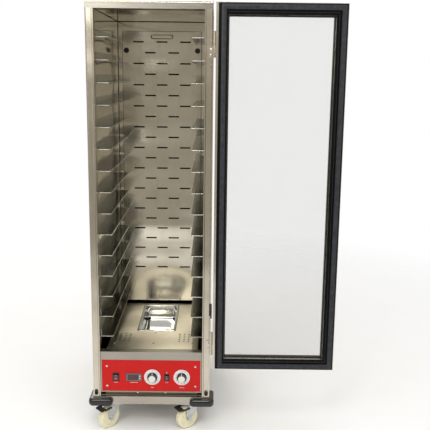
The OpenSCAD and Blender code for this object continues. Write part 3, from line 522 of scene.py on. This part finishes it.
hinge_height = 100
low_bracket, high_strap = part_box("hinge_brackets")[0] / MM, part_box("door_hinge_leaves")[1] / MM
post_front, strap_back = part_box("front_posts")[0][1] / MM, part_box("door_frame")[1][1] / MM + 3
hinge_feet = (low_bracket[2], high_strap[2] - hinge_height)
bracket_screws = [onto_front(dome(4.3, 2.0), (low_bracket[0] + 7.5, post_front - 3, foot + up_by))
                  for foot in hinge_feet for up_by in (11, 33)]
surface("bracket_screws", bracket_screws, screw_steel, "cabinet")
strap_screws = [onto_back(dome(4.3, 1.8), (high_strap[0] - inset, strap_back, foot + 72.2))
                for foot in hinge_feet for inset in (24, 10)]
surface("strap_screws", strap_screws, screw_steel, "door")
back_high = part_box("back_panel")[1] / MM
rivet = dome(4.2, 1.8, False)
rivets = [onto_back(rivet, (side * (back_high[0] - 9), back_high[1], z))
          for side in (-1, 1) for z in np.arange(200, 1800, 130)]
rivets += [onto_back(rivet, (x, back_high[1], back_high[2] - 10)) for x in np.arange(-180, 181, 90)]
surface("back_rivets", rivets, screw_steel, "cabinet")
print("rivets:", len(rivets))

# %% [markdown]
# ## Knobs and dials
# Each control has a white dial plate, a black knob with a skirt, a fluted grip and a satin cap, and a
# white pointer line. The flutes are a cosine taken off the radius, only along the grip.

# %% Turn the knobs
def knob_body(flutes=24, flute_depth=0.45, columns=144):
    """Radius follows the profile, less depth * (1 + cos(flutes * t)) / 2 on the grip."""
    profile = np.array([(19, 0), (21.6, 0.1), (22, 0.6), (22, 3.6), (21.5, 4.4), (19.4, 4.9), (18.5, 5.2),
                        (18.0, 6.2), (17.8, 7), (17.4, 10), (17.0, 13), (16.6, 15.8), (16.2, 16.8),
                        (15.6, 17.5), (14.9, 17.8)])
    grid = turned(profile, columns)
    t = np.linspace(0, 2 * np.pi, columns, endpoint=False)
    on_grip = np.clip((profile[:, 1] - 6) / 1.0, 0, 1) * np.clip((17.2 - profile[:, 1]) / 0.8, 0, 1)
    cut = 1 - np.outer(on_grip, flute_depth * (1 + np.cos(flutes * t)) / 2) / profile[:, :1]
    grid[..., :2] *= cut[..., None]
    return grid


def pointer_line(width=1.8, lift=0.16):
    """A thin strip that follows the knob's profile outward, at the top."""
    path = np.array([(15.2, 17.75), (16.3, 16.9), (16.8, 15.8), (17.2, 13), (17.6, 10), (18.1, 7),
                     (18.7, 5.4), (19.6, 5.0), (21.4, 4.5), (21.9, 3.9)])
    outward = np.gradient(path, axis=0)[:, ::-1] * [-1, 1]
    outward /= np.linalg.norm(outward, axis=1)[:, None]
    outward *= np.sign(outward[:, 1:2] + 1e-9)
    top, under = path + outward * lift, path - outward * 0.3
    half = width / 2
    rows = [np.stack([np.full(len(path), side * half), edge[:, 0], edge[:, 1]], -1)
            for side, edge in ((-1, under), (1, under), (1, top), (-1, top))]
    return np.stack(rows, 1)


cap = turned([(14.6, 17.3), (14.75, 17.9), (14.5, 18.4), (13.9, 18.7), (12.6, 18.8), (12.3, 18.6),
              (11.6, 18.6), (11.2, 18.85), (7, 18.92), (2, 18.95)], 64)
plate_low, plate_high = (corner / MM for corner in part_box("dial_plates"))
plate_y, control_z = plate_low[1], (plate_low[2] + plate_high[2]) / 2
hubs = {}
for which in ("temperature", "humidity"):
    body = which + "_knob"
    knob_low, knob_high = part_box(body)
    hub = ((knob_low[0] + knob_high[0]) / 2 / MM, knob_high[1] / MM, (knob_low[2] + knob_high[2]) / 2 / MM)
    hubs[which] = hub
    surface(which + "_grip", [onto_front(knob_body(), hub)], glossy_black, body,
            stands_for=[body])
    surface(which + "_cap", [onto_front(cap, hub)], cap_metal, body)
    surface(which + "_pointer", [onto_front(pointer_line(), hub)], white_ink, body)
print("knobs at x =", [round(float(hub[0]), 1) for hub in hubs.values()])

# %% [markdown]
# ## Marks on the dials
# The marks are a printed scale: short ticks, numbers, and a thin arc. It starts at the top, where the
# knob stands at rest, and runs clockwise for 300 degrees, as far as the knob turns. The low half is
# blue and the high half is red. Numbers are text objects in Blender, so each is turned into a mesh
# first and its points are then laid on the plate with the same function as the rest.

# %% Print the scales
def tick(angle, inner, outer, width):
    """A thin bar from one radius to another at an angle that runs clockwise from the top."""
    bar = pill(width, outer - inner, 0.14, 0.2, 0.05)
    bar[..., 1] += (inner + outer) / 2
    c, s = math.cos(math.radians(angle)), math.sin(math.radians(angle))
    return np.stack([bar[..., 0] * c + bar[..., 1] * s, bar[..., 1] * c - bar[..., 0] * s, bar[..., 2]], -1)


def arc_band(start, end, radius, width, steps=40):
    """A flat band along a circle: four corners of its section at each angle."""
    a = np.radians(np.linspace(start, end, steps))[:, None]
    r = radius + np.array([-1, 1, 1, -1])[None, :] * width / 2
    z = np.array([0, 0, 0.14, 0.14])[None, :] + 0 * a
    return np.stack([r * np.sin(a), r * np.cos(a), z], -1)


def number_mesh(text, size, place, angle, radius, material, body, name):
    """Lays a number on the dial, upright, at a radius and an angle that runs clockwise from the top."""
    letters = bpy.data.curves.new(name, "FONT")
    letters.body, letters.size, letters.extrude = text, size, 0.08
    letters.align_x, letters.align_y = "CENTER", "CENTER"
    source = bpy.data.objects.new(name + "_source", letters)
    bpy.context.collection.objects.link(source)
    bpy.context.view_layer.update()
    mesh = bpy.data.meshes.new_from_object(source.evaluated_get(bpy.context.evaluated_depsgraph_get()))
    bpy.data.objects.remove(source)
    flat = np.empty(len(mesh.vertices) * 3)
    mesh.vertices.foreach_get("co", flat)
    points = flat.reshape(-1, 3)
    points[:, 0] += radius * math.sin(math.radians(angle))
    points[:, 1] += radius * math.cos(math.radians(angle))
    mesh.vertices.foreach_set("co", onto_front(points, place).ravel())
    mesh.materials.clear()
    mesh.materials.append(material)
    piece = bpy.data.objects.new(name, mesh)
    bpy.context.collection.objects.link(piece)
    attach(piece, body)


knob_turn, last_number, half_way, gap = 300, 10, 16, 3
arc_radius, number_radius, mark_width = 30.6, 26.6, 0.5
for which, hub in hubs.items():
    middle = (hub[0], plate_y, hub[2])
    angles = np.linspace(0, knob_turn, 3 * last_number + 1)
    ticks = [tick(a, 31.2, 33.2 if k % 3 else 34.0, mark_width) for k, a in enumerate(angles)]
    low_arc = arc_band(0, knob_turn / 2 - gap, arc_radius, mark_width)
    high_arc = arc_band(knob_turn / 2 + gap, knob_turn, arc_radius, mark_width)
    blue = [onto_front(g, middle) for g in ticks[:half_way] + [low_arc]]
    red = [onto_front(g, middle) for g in ticks[half_way:] + [high_arc]]
    surface(which + "_scale_low", blue, blue_ink, "cabinet")
    surface(which + "_scale_high", red, red_ink, "cabinet")
    for k in range(last_number + 1):
        number_mesh(str(k), 6.2, middle, knob_turn / last_number * k, number_radius,
                    red_ink if 2 * k > last_number else blue_ink, "cabinet", "%s_number_%d" % (which, k))
print("dial marks done")

# %% [markdown]
# ## Switches and display
# The power rocker has a lens that glows red when it is on, and the common on and off signs, a bar and a
# ring; the mode rocker has one bar on its upper half and two on its lower. The display shows two dim
# digits, and has two small buttons beside it. The signs lie on the sloping halves of each rocker, so
# they are leaned by the slope and the tilt.

# %% Lens, signs, digits and buttons
rocker_tilt, rocker_slope = 7.0, 10.0
power_x, mode_x, display_x, temperature_x, humidity_x = -151, 67, -74, 5, 131
power_half, mode_half = 13.1, 10.1


def on_rocker(grid, centre_x, at_height, lean, depth):
    """Lays a shape on a rocker's face: at_height along the face from the pivot, then tilted."""
    a = math.radians(rocker_tilt)
    y = -(depth * math.cos(a)) - at_height * math.sin(a)
    z = at_height * math.cos(a) - depth * math.sin(a)
    return onto_front(grid, (centre_x, post_front + 4 + y, control_z + z), lean)


def face_depth(at_height, half):
    """How far the rocker's face stands in front of its pivot: least in the middle, most at the ends."""
    return 7.2 + 2.3 * abs(at_height) / half


lower_lean, upper_lean = rocker_tilt - rocker_slope, rocker_tilt + rocker_slope
lens = pill(13, 8, 0.8, 1.2, 0.3)
ring_sign = arc_band(0, 352, 2.1, 0.6)
bar_sign = pill(0.7, 5, 0.3, 0.3, 0.1)
lens_depth, ring_depth = face_depth(6.8, power_half), face_depth(7.4, power_half)
surface("power_lens", [on_rocker(lens, power_x, -6.8, lower_lean, lens_depth - 0.4)], red_lens,
        "power_rocker")
surface("power_signs", [on_rocker(ring_sign, power_x, 7.4, upper_lean, ring_depth - 0.02),
                        on_rocker(bar_sign, power_x, -6.8, lower_lean, lens_depth + 0.25)],
        white_ink, "power_rocker")
mode_bars = ((0, 5.4, upper_lean), (-1.6, -5.4, lower_lean), (1.6, -5.4, lower_lean))
surface("mode_signs", [on_rocker(bar_sign, mode_x + dx, at, lean, face_depth(at, mode_half) - 0.1)
                       for dx, at, lean in mode_bars],
        white_ink, "mode_rocker")

segment_places = {"a": (0, 6, 90), "b": (3, 3, 0), "c": (3, -3, 0), "d": (0, -6, 90), "e": (-3, -3, 0),
                  "f": (-3, 3, 0), "g": (0, 0, 90)}
digit_segments = {-89: "abcdg", -78: "abcdefg"}
window_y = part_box("display_window")[0][1] / MM
segments = []
for digit_x, lit in digit_segments.items():
    for key in lit:
        dx, dz, turn = segment_places[key]
        bar = pill(4.6, 1.2, 0.1, 0.55, 0.04) if turn else pill(1.2, 4.6, 0.1, 0.55, 0.04)
        segments.append(onto_front(bar, (digit_x + dx, window_y, control_z + dz)))
surface("display_digits", segments, red_digits, "cabinet")
bezel_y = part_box("display_bezel")[0][1] / MM
button = turned([(2.8, -0.4), (2.8, 0.5), (2.4, 0.9), (1.2, 1.05), (0.3, 1.1)], 32)
surface("display_buttons", [onto_front(button, (-48, bezel_y, control_z + dz)) for dz in (-5.5, 5.5)],
        white_plastic, "cabinet")
print("digits:", len(segments), "segments")

# %% [markdown]
# ## Small printed signs
# Beside the controls the panel has plain white signs: a short bar under each, and a drop and a wave
# at the mode switch for moist and dry air. They are raised a tenth of a millimetre.

# %% Print the signs
def drop_sign(size):
    """A drop: a circle whose radius grows to a point at the top, r = 1 + 0.9 * peak(t)."""
    t = np.linspace(0, 2 * np.pi, 40, endpoint=False)
    r = size * (1 + 0.9 * np.exp(-((t - np.pi / 2) / 0.28) ** 2))
    outline = np.stack([r * np.cos(t), r * np.sin(t)], -1)
    return np.stack([np.c_[outline, 0 * t], np.c_[outline * 0.98, 0 * t + 0.12]])


def wave_sign(length, height, width=0.7):
    """A band along z = height * sin(2 pi x / length)."""
    x = np.linspace(-length, length, 40)[:, None]
    z = height * np.sin(2 * np.pi * x / length) + np.array([-1, 1, 1, -1])[None, :] * width / 2
    lift = np.array([0, 0, 0.12, 0.12])[None, :] + 0 * x
    return np.stack([x + 0 * z, z, lift], -1)


panel_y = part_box("control_panel")[0][1] / MM
signs = [onto_front(pill(w, 1.3, 0.12, 0.6, 0.05), (x, panel_y, z))
         for x, z, w in ((power_x, 219, 18), (display_x, 219, 34), (temperature_x, 197, 14),
                         (humidity_x, 197, 22))]
signs += [onto_front(wave_sign(6, 1.0), (mode_x, panel_y, 222 + dz)) for dz in (-2.4, 0)]
signs += [onto_front(drop_sign(1.9), (mode_x, panel_y, 264))]
surface("panel_signs", signs, white_ink, "cabinet")
print("signs:", len(signs))

# %% [markdown]
# ## The water pan
# The pan is pressed from one polished sheet: a flat rim with a turned-down edge, a small shoulder,
# slightly tapered walls with round corners, and a bottom that rises into them in a soft curve. The
# rows below are rounded rectangles from the inside's bottom, up over the rim, and down the outside.

# %% Press the pan
pan_low, pan_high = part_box("water_pan")
pan_top = pan_high[2] / MM
inside = [(40, 180, 8, -65.5), (122, 271, 12, -65.5), (134, 283, 16, -65.0), (141, 290, 18, -63.2),
          (145.5, 294.5, 20, -59.5), (147.5, 296.5, 20, -54), (149, 298, 20, -36), (150, 299, 20, -14),
          (150.2, 299.2, 20, -12), (152.2, 301.2, 20.5, -10.6), (152.8, 301.8, 20.5, -3.2),
          (153.6, 302.6, 21, -1.4), (155.2, 304.2, 22, -0.4), (157.5, 306.5, 22, 0)]
rim = [(170, 319, 13, 0), (174, 323, 11.4, -0.15), (175.6, 324.6, 10.4, -0.6), (176, 325, 10, -1.5),
       (175, 324, 9.6, -1.5), (158, 307, 21, -1.3)]
outside = [(154, 303, 20.4, -3.4), (153.4, 302.4, 20, -11), (151, 300, 20, -13), (150, 299, 20, -36),
           (148.6, 297.6, 20, -55), (146.4, 295.4, 20, -60.4), (141.6, 290.6, 18, -64.4),
           (134, 283, 16, -66.2), (122, 271, 12, -66.5), (40, 180, 8, -66.5)]
pan_middle = (pan_low + pan_high) / 2 / MM
pan_grid = np.stack([loop(w, h, r, z, 9) for w, h, r, z in inside + rim + outside])
pan_grid = (pan_grid + [pan_middle[0], pan_middle[1], pan_top]) * MM
surface("pressed_pan", [pan_grid], pan_steel, "water_pan", stands_for=["water_pan"], sharp=50)
print("pan depth:", round(pan_top - pan_low[2] / MM, 1))

# %% [markdown]
# ## Rubber bumpers
# A bumper is one moulded rubber bar that bends round the corner of the base. Its section is a soft
# D. At each place along the path the section stands on the base's outline and points straight out;
# at the corner the place stays and only the direction turns. Towards the ends the section shrinks as
# a half circle does, which rounds them.

# %% Mould the bumpers
bumper_low, bumper_high = (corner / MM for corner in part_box("corner_bumpers"))
base_x, base_y, front_end, side_end = 250, -345, 165, -260


def bumper_bar(side_x, side_y, reach=20.0, half=17.0):
    """Section: out = reach * cos^0.55, up = half * sin^0.8 for an angle from -90 to 90 degrees."""
    angle = np.linspace(-np.pi / 2, np.pi / 2, 21)
    out = reach * np.maximum(np.cos(angle), 0) ** 0.55
    up_by = half * np.sign(np.sin(angle)) * np.abs(np.sin(angle)) ** 0.8
    section = np.r_[np.c_[out, up_by], [[0.1, half * 0.9], [0.1, 0], [0.1, -half * 0.9]]]
    ends = half * (1 - np.cos(np.linspace(0.12, np.pi / 2, 8)))
    front_x = np.r_[front_end + ends, np.linspace(190, base_x, 6)]
    side_run = np.r_[np.linspace(base_y, -285, 6), (side_end - ends)[::-1]]
    turn = np.linspace(0, np.pi / 2, 11)[1:-1]
    spots = np.r_[np.c_[front_x, 0 * front_x + base_y], np.tile([base_x, base_y], (len(turn), 1)),
                  np.c_[0 * side_run + base_x, side_run]]
    heading = np.r_[0 * front_x, turn, 0 * side_run + np.pi / 2]
    tip = np.r_[front_end + half - front_x, np.full(len(turn), -99), side_run - side_end + half]
    shrink = np.sqrt(np.clip(1 - np.clip(tip / half, 0, 1) ** 2, 0.004, 1))
    swell = 0.72 + 0.28 * shrink
    normal = np.stack([np.sin(heading), -np.cos(heading)], -1)
    flat = spots[:, None, :] + normal[:, None, :] * (section[None, :, :1] * swell[:, None, None])
    height = (bumper_low[2] + bumper_high[2]) / 2 + section[None, :, 1] * shrink[:, None]
    grid = np.concatenate([flat, height[..., None]], -1) * MM
    return grid * np.array([side_x, side_y, 1])


bars = [bumper_bar(sx, sy) for sx in (-1, 1) for sy in (-1, 1)]
surface("bumper_bars", bars, rubber, "cabinet", stands_for=["corner_bumpers"], sharp=50)
print("bumper bars:", len(bars))

# %% [markdown]
# ## Ball races on the casters
# Each caster turns in a pressed ball race under its plate: two domed rings with a dark gap. It is a
# turned profile that rides with its fork.

# %% Turn the races
race = [(20, 106.2), (29, 106.2), (31.5, 106.8), (32.6, 108.2), (32.2, 109.4), (30.4, 110.2), (29.6, 110.6),
        (29.6, 111.0), (31.6, 111.4), (33, 112.2), (32.6, 113.3), (30, 113.6), (20, 113.6)]
plate_half_x, plate_half_y = 50, 35
plates_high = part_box("caster_plates")[1] / MM
stem_x, stem_y = plates_high[0] - plate_half_x, plates_high[1] - plate_half_y
for corner, (x, y) in {"front_left": (-stem_x, -stem_y), "front_right": (stem_x, -stem_y),
                       "rear_left": (-stem_x, stem_y), "rear_right": (stem_x, stem_y)}.items():
    surface(corner + "_race", [turned(race, 56, (x, y)) * MM], zinc, corner + "_fork", sharp=45)
print("races at", round(stem_x, 1), round(stem_y, 1))

# %% [markdown]
# ## Louvres, seams and sealant
# The back panel's cooling slots have pressed hoods that throw rain and splashes off. A hood is a
# bulge: its height is a quarter sine down and a half sine along. Inside, the chamber's corners are
# closed with a dark bead of sealant, which is a bar with a round section.

# %% Hoods and beads
def hood(length=54.0, drop=8.0, proud=4.4):
    """out = proud * sin(pi u)^0.5 * sin(pi v / 2)^0.6 over the hood, with its open edge at the foot."""
    u = np.linspace(0, 1, 25)[:, None]
    v = np.linspace(0, 1, 9)[None, :]
    out = proud * np.sin(np.pi * u) ** 0.5 * np.sin(np.pi * v / 2) ** 0.6
    x, z = (u - 0.5) * length + 0 * v, drop * (0.5 - v) + 0 * u
    outer = np.stack([x, z, out], -1)
    inner = np.stack([x * 0.985, z, np.maximum(out - 0.7, -0.3)], -1)
    return np.concatenate([outer, inner[:, ::-1]], 1)


first_vent, vent_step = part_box("back_panel")[0][2] / MM + 60, 14
hoods = [onto_back(hood(), (x, back_high[1], first_vent + vent_step * row + 1.5))
         for row in range(5) for x in (-110, -40, 30)]
surface("vent_hoods", hoods, upright_steel, "cabinet", sharp=50)


def bead(start, end, radius):
    """A round bar between two points: a circle carried along a straight line."""
    start, end = np.array(start, float), np.array(end, float)
    along = (end - start) / np.linalg.norm(end - start)
    side = np.cross(along, [0.3, 0.5, 0.81])
    side /= np.linalg.norm(side)
    other = np.cross(along, side)
    t = np.linspace(0, 2 * np.pi, 10, endpoint=False)
    circle = radius * (np.outer(np.cos(t), side) + np.outer(np.sin(t), other))
    stations = start + (end - start) * np.linspace(0, 1, 12)[:, None]
    return (stations[:, None, :] + circle[None]) * MM


side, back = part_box("back_liner")[1][0] / MM - 0.8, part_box("back_liner")[0][1] / MM - 0.8
top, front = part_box("ceiling_liner")[0][2] / MM - 0.8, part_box("ceiling_liner")[0][1] / MM + 1.5
beads = [bead((-side, back, top), (side, back, top), 1.7), bead((-side, front, top), (side, front, top), 1.2)]
beads += [bead((s * side, back, 360), (s * side, back, top), 1.3) for s in (-1, 1)]
beads += [bead((s * side, front, top), (s * side, back, top), 1.3) for s in (-1, 1)]
surface("chamber_sealant", beads, sealant_and_shade, "cabinet")

# The outer sheets meet in standing seams, which are half-round beads down the front, sides and back
foot_z, head_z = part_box("back_panel")[0][2] / MM + 4, back_high[2] - 4
skin_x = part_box("right_outer_panel")[1][0] / MM
front_seam_x, side_seam_x, back_seam_x = skin_x - 5, skin_x - 0.2, 228
front_seam_y, back_seam_y = post_front + 0.2, back_high[1] - 0.2
seams = [bead((s * front_seam_x, front_seam_y, foot_z + 34), (s * front_seam_x, front_seam_y, 1774), 1.4)
         for s in (-1, 1)]
seams += [bead((s * side_seam_x, y, foot_z), (s * side_seam_x, y, head_z), 1.5)
          for s in (-1, 1) for y in (-299, 318)]
seams += [bead((s * back_seam_x, back_seam_y, foot_z), (s * back_seam_x, back_seam_y, head_z), 1.5)
          for s in (-1, 1)]
surface("panel_seams", seams, upright_steel, "cabinet")
print("hoods:", len(hoods), "beads:", len(beads), "seams:", len(seams))

# %% [markdown]
# ## Edges of the slides, the header, the pan and the duct cover
# The free edge of each slide is hemmed: the sheet is bent back on itself, so the edge is round and
# catches a bright line along its whole length, and so does the header's lower edge. The pull in the
# duct cover is a pressed cup, and its rolled edge gets a dark ring of painted shade. The cover's
# edges and the pan's rim get a dark line of painted shade too. Apart from the cup, each is a small
# circle carried along a path.

# %% Hem the slides and edge the rest
hem_steel = polished_steel("bright hem", (0.80, 0.79, 0.74), 0.16)
level_step, level_count, ledge_reach = 90, 15, 49
for which, sign in (("left", -1), ("right", 1)):
    slides_low, slides_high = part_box(which + "_tray_slides")
    edge_x = min(abs(slides_low[0]), abs(slides_high[0])) / MM
    start_y, end_y = slides_low[1] / MM, slides_high[1] / MM
    levels = slides_low[2] / MM + 6 + level_step * np.arange(level_count) - 0.6
    near, far = sign * edge_x, sign * (edge_x + ledge_reach)
    hems = [bead((near, start_y + 0.5, z), (near, end_y - 0.5, z), 1.1) for z in levels]
    hems += [bead((near, start_y, z), (far, start_y, z), 1.0) for z in levels]
    surface(which + "_slide_hems", hems, hem_steel, "cabinet")


def ring_bar(outline, radius):
    """A circle of a given radius carried round a closed outline in the X-Y plane."""
    ahead, behind = np.roll(outline, -1, 0), np.roll(outline, 1, 0)
    along = (ahead - behind)[:, :2]
    along = along / np.linalg.norm(along, axis=1)[:, None]
    across = np.stack([along[:, 1], -along[:, 0], 0 * along[:, 0]], -1)
    t = np.linspace(0, 2 * np.pi, 10, endpoint=False)
    return outline[:, None, :] + radius * (np.cos(t)[None, :, None] * across[:, None, :]
                                           + np.sin(t)[None, :, None] * np.array([0, 0, 1.0]))


cap_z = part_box("top_cap")[1][2] / MM - 14
cap_edge = [bead((-249, post_front - 0.2, cap_z), (249, post_front - 0.2, cap_z), 1.7)]
surface("cap_edge", cap_edge, hem_steel, "cabinet")
pull = ring_bar(loop(106, 18, 8.9, 0.2, 10), 1.5)
# Painted shade: a dark ring round the pan's rim where it meets the floor
pan_rim_shade = ring_bar(loop(178.6, 327.6, 11.3, 0.2, 8), 0.9) + [pan_middle[0], pan_middle[1], pan_top - 1.8]
surface("pan_rim_shade", [pan_rim_shade * MM], sealant_and_shade, "cabinet", wrap=True)
pull_place = (0, duct_low[1] / MM, duct_high[2] / MM - 26)
cup_rows = [(99, 11, 5.4, -7), (102, 14, 6.9, -5), (103.2, 15.2, 7.5, 0), (103.7, 15.7, 7.8, 0),
            (103.4, 15.4, 7.6, -6), (99, 11, 5.4, -7.8)]
cup = np.stack([loop(w, h, r, z, 10) for w, h, r, z in cup_rows])
surface("pull_cup", [onto_front(cup, pull_place)], duct_steel, "cabinet", sharp=50)
cover_x, cover_y, cover_top = duct_high[0] / MM, duct_low[1] / MM - 0.2, duct_high[2] / MM
# Painted shade: dark lines along the duct cover's top and sides
cover_edge_shade = [bead((-cover_x, cover_y, cover_top), (cover_x, cover_y, cover_top), 0.9)]
cover_edge_shade += [bead((s * cover_x, cover_y, 366), (s * cover_x, cover_y, cover_top), 0.8) for s in (-1, 1)]
surface("cover_edge_shade", cover_edge_shade, sealant_and_shade, "cabinet")
# Painted shade: a dark ring round the pull's rolled edge
surface("pull_edge_shade", [onto_front(pull, pull_place)], sealant_and_shade, "cabinet", wrap=True)
print("hems:", 2 * len(hems))

# %% [markdown]
# ## Floor, light and camera
# The cabinet stands on a plain pale floor that fades into a pale room. Steel shows what is round it,
# so the room is brighter above and warmer and darker at eye level, as in a workshop. Five soft area
# lights stand in front to the left and right, before the doorway, above and behind.

# %% A pale floor that fades out
bpy.ops.mesh.primitive_plane_add(size=30, location=(0, 0, 0))
floor = bpy.context.object
floor.name = "studio_floor"
paint = Finish("pale floor")
floor_x, floor_y = paint.axis("X"), paint.axis("Y")
squares = floor_x * floor_x + floor_y * floor_y
distance = squares.math("SQRT", squares)
mottle = paint.noise(6.0, detail=3)
pale = paint.blend(mottle, (0.95, 0.947, 0.94), (0.98, 0.977, 0.972))
matt = paint.add("ShaderNodeBsdfPrincipled", None, {"Base Color": pale, "Roughness": 0.7})
clear = paint.add("ShaderNodeBsdfTransparent")
both = paint.add("ShaderNodeMixShader", None, {0: distance.between(1.0, 3.2), 1: matt, 2: clear})
paint.tree.links.new(both.socket, paint.tree.nodes.new("ShaderNodeOutputMaterial").inputs["Surface"])
floor.data.materials.append(paint.material)

# %% A room that is bright above and warm at eye level
world = bpy.data.worlds.new("studio")
bpy.context.scene.world = world
world.use_nodes = True
tree = world.node_tree
tree.nodes.clear()
direction = tree.nodes.new("ShaderNodeTexCoord")
split = tree.nodes.new("ShaderNodeSeparateXYZ")
ramp = tree.nodes.new("ShaderNodeValToRGB")
tree.links.new(direction.outputs["Generated"], split.inputs[0])
height = tree.nodes.new("ShaderNodeMapRange")
height.inputs["From Min"].default_value = -1.0
tree.links.new(split.outputs["Z"], height.inputs["Value"])
tree.links.new(height.outputs[0], ramp.inputs[0])
stops = [(0.0, (0.62, 0.60, 0.56)), (0.44, (0.50, 0.47, 0.41)), (0.56, (0.42, 0.38, 0.32)),
         (0.70, (0.72, 0.70, 0.66)), (1.0, (1.0, 1.0, 1.0))]
while len(ramp.color_ramp.elements) < len(stops):
    ramp.color_ramp.elements.new(0.5)
for element, (position, colour) in zip(ramp.color_ramp.elements, stops):
    element.position = position
    element.color = (*colour, 1)
room, white = tree.nodes.new("ShaderNodeBackground"), tree.nodes.new("ShaderNodeBackground")
room.inputs["Strength"].default_value = 0.8
white.inputs["Color"].default_value = (1, 1, 1, 1)
white.inputs["Strength"].default_value = 1.0
tree.links.new(ramp.outputs[0], room.inputs["Color"])
rays = tree.nodes.new("ShaderNodeLightPath")
chosen, sky = tree.nodes.new("ShaderNodeMixShader"), tree.nodes.new("ShaderNodeOutputWorld")
tree.links.new(rays.outputs["Is Camera Ray"], chosen.inputs[0])
tree.links.new(room.outputs[0], chosen.inputs[1])
tree.links.new(white.outputs[0], chosen.inputs[2])
tree.links.new(chosen.outputs[0], sky.inputs["Surface"])


# %% Soft lights and the camera
def soft_light(name, place, target, width, height, watts, colour=(1, 1, 1)):
    lamp = bpy.data.lights.new(name, "AREA")
    lamp.shape, lamp.size, lamp.size_y, lamp.energy, lamp.color = "RECTANGLE", width, height, watts, colour
    holder = bpy.data.objects.new(name, lamp)
    bpy.context.collection.objects.link(holder)
    holder.location = place
    holder.rotation_euler = (Vector(target) - Vector(place)).to_track_quat("-Z", "Y").to_euler()


soft_light("key light", (-1.6, -3.6, 2.9), (0, 0, 0.9), 1.8, 1.8, 42, (1, 0.985, 0.96))
soft_light("fill light", (2.4, -3.0, 1.5), (0.1, 0, 0.9), 1.4, 2.2, 17, (0.98, 0.99, 1))
soft_light("doorway light", (0.0, -2.4, 2.9), (0, 0, 0.4), 0.7, 0.7, 16, (1, 0.98, 0.94))
soft_light("top light", (0.2, -0.6, 3.6), (0.1, 0, 1.0), 2.4, 2.4, 26)
soft_light("back light", (-1.4, 3.4, 2.6), (0, 0, 1.0), 2.2, 2.2, 36)
camera_data = bpy.data.cameras.new("camera")
camera = bpy.data.objects.new("camera", camera_data)
bpy.context.collection.objects.link(camera)
camera_data.sensor_width = 36
camera_data.lens = 51.9
camera_data.shift_y = -0.077
pitch, yaw = math.radians(9.87), math.radians(0.05)
camera.location = (0.262, -2.822, 1.528)
look = Vector((math.sin(yaw) * math.cos(pitch), math.cos(yaw) * math.cos(pitch), -math.sin(pitch)))
roll = Quaternion((0, 0, 1), math.radians(0.66))
camera.rotation_euler = (look.to_track_quat("-Z", "Y") @ roll).to_euler()
bpy.context.scene.camera = camera
bpy.context.scene.view_settings.view_transform = "Standard"
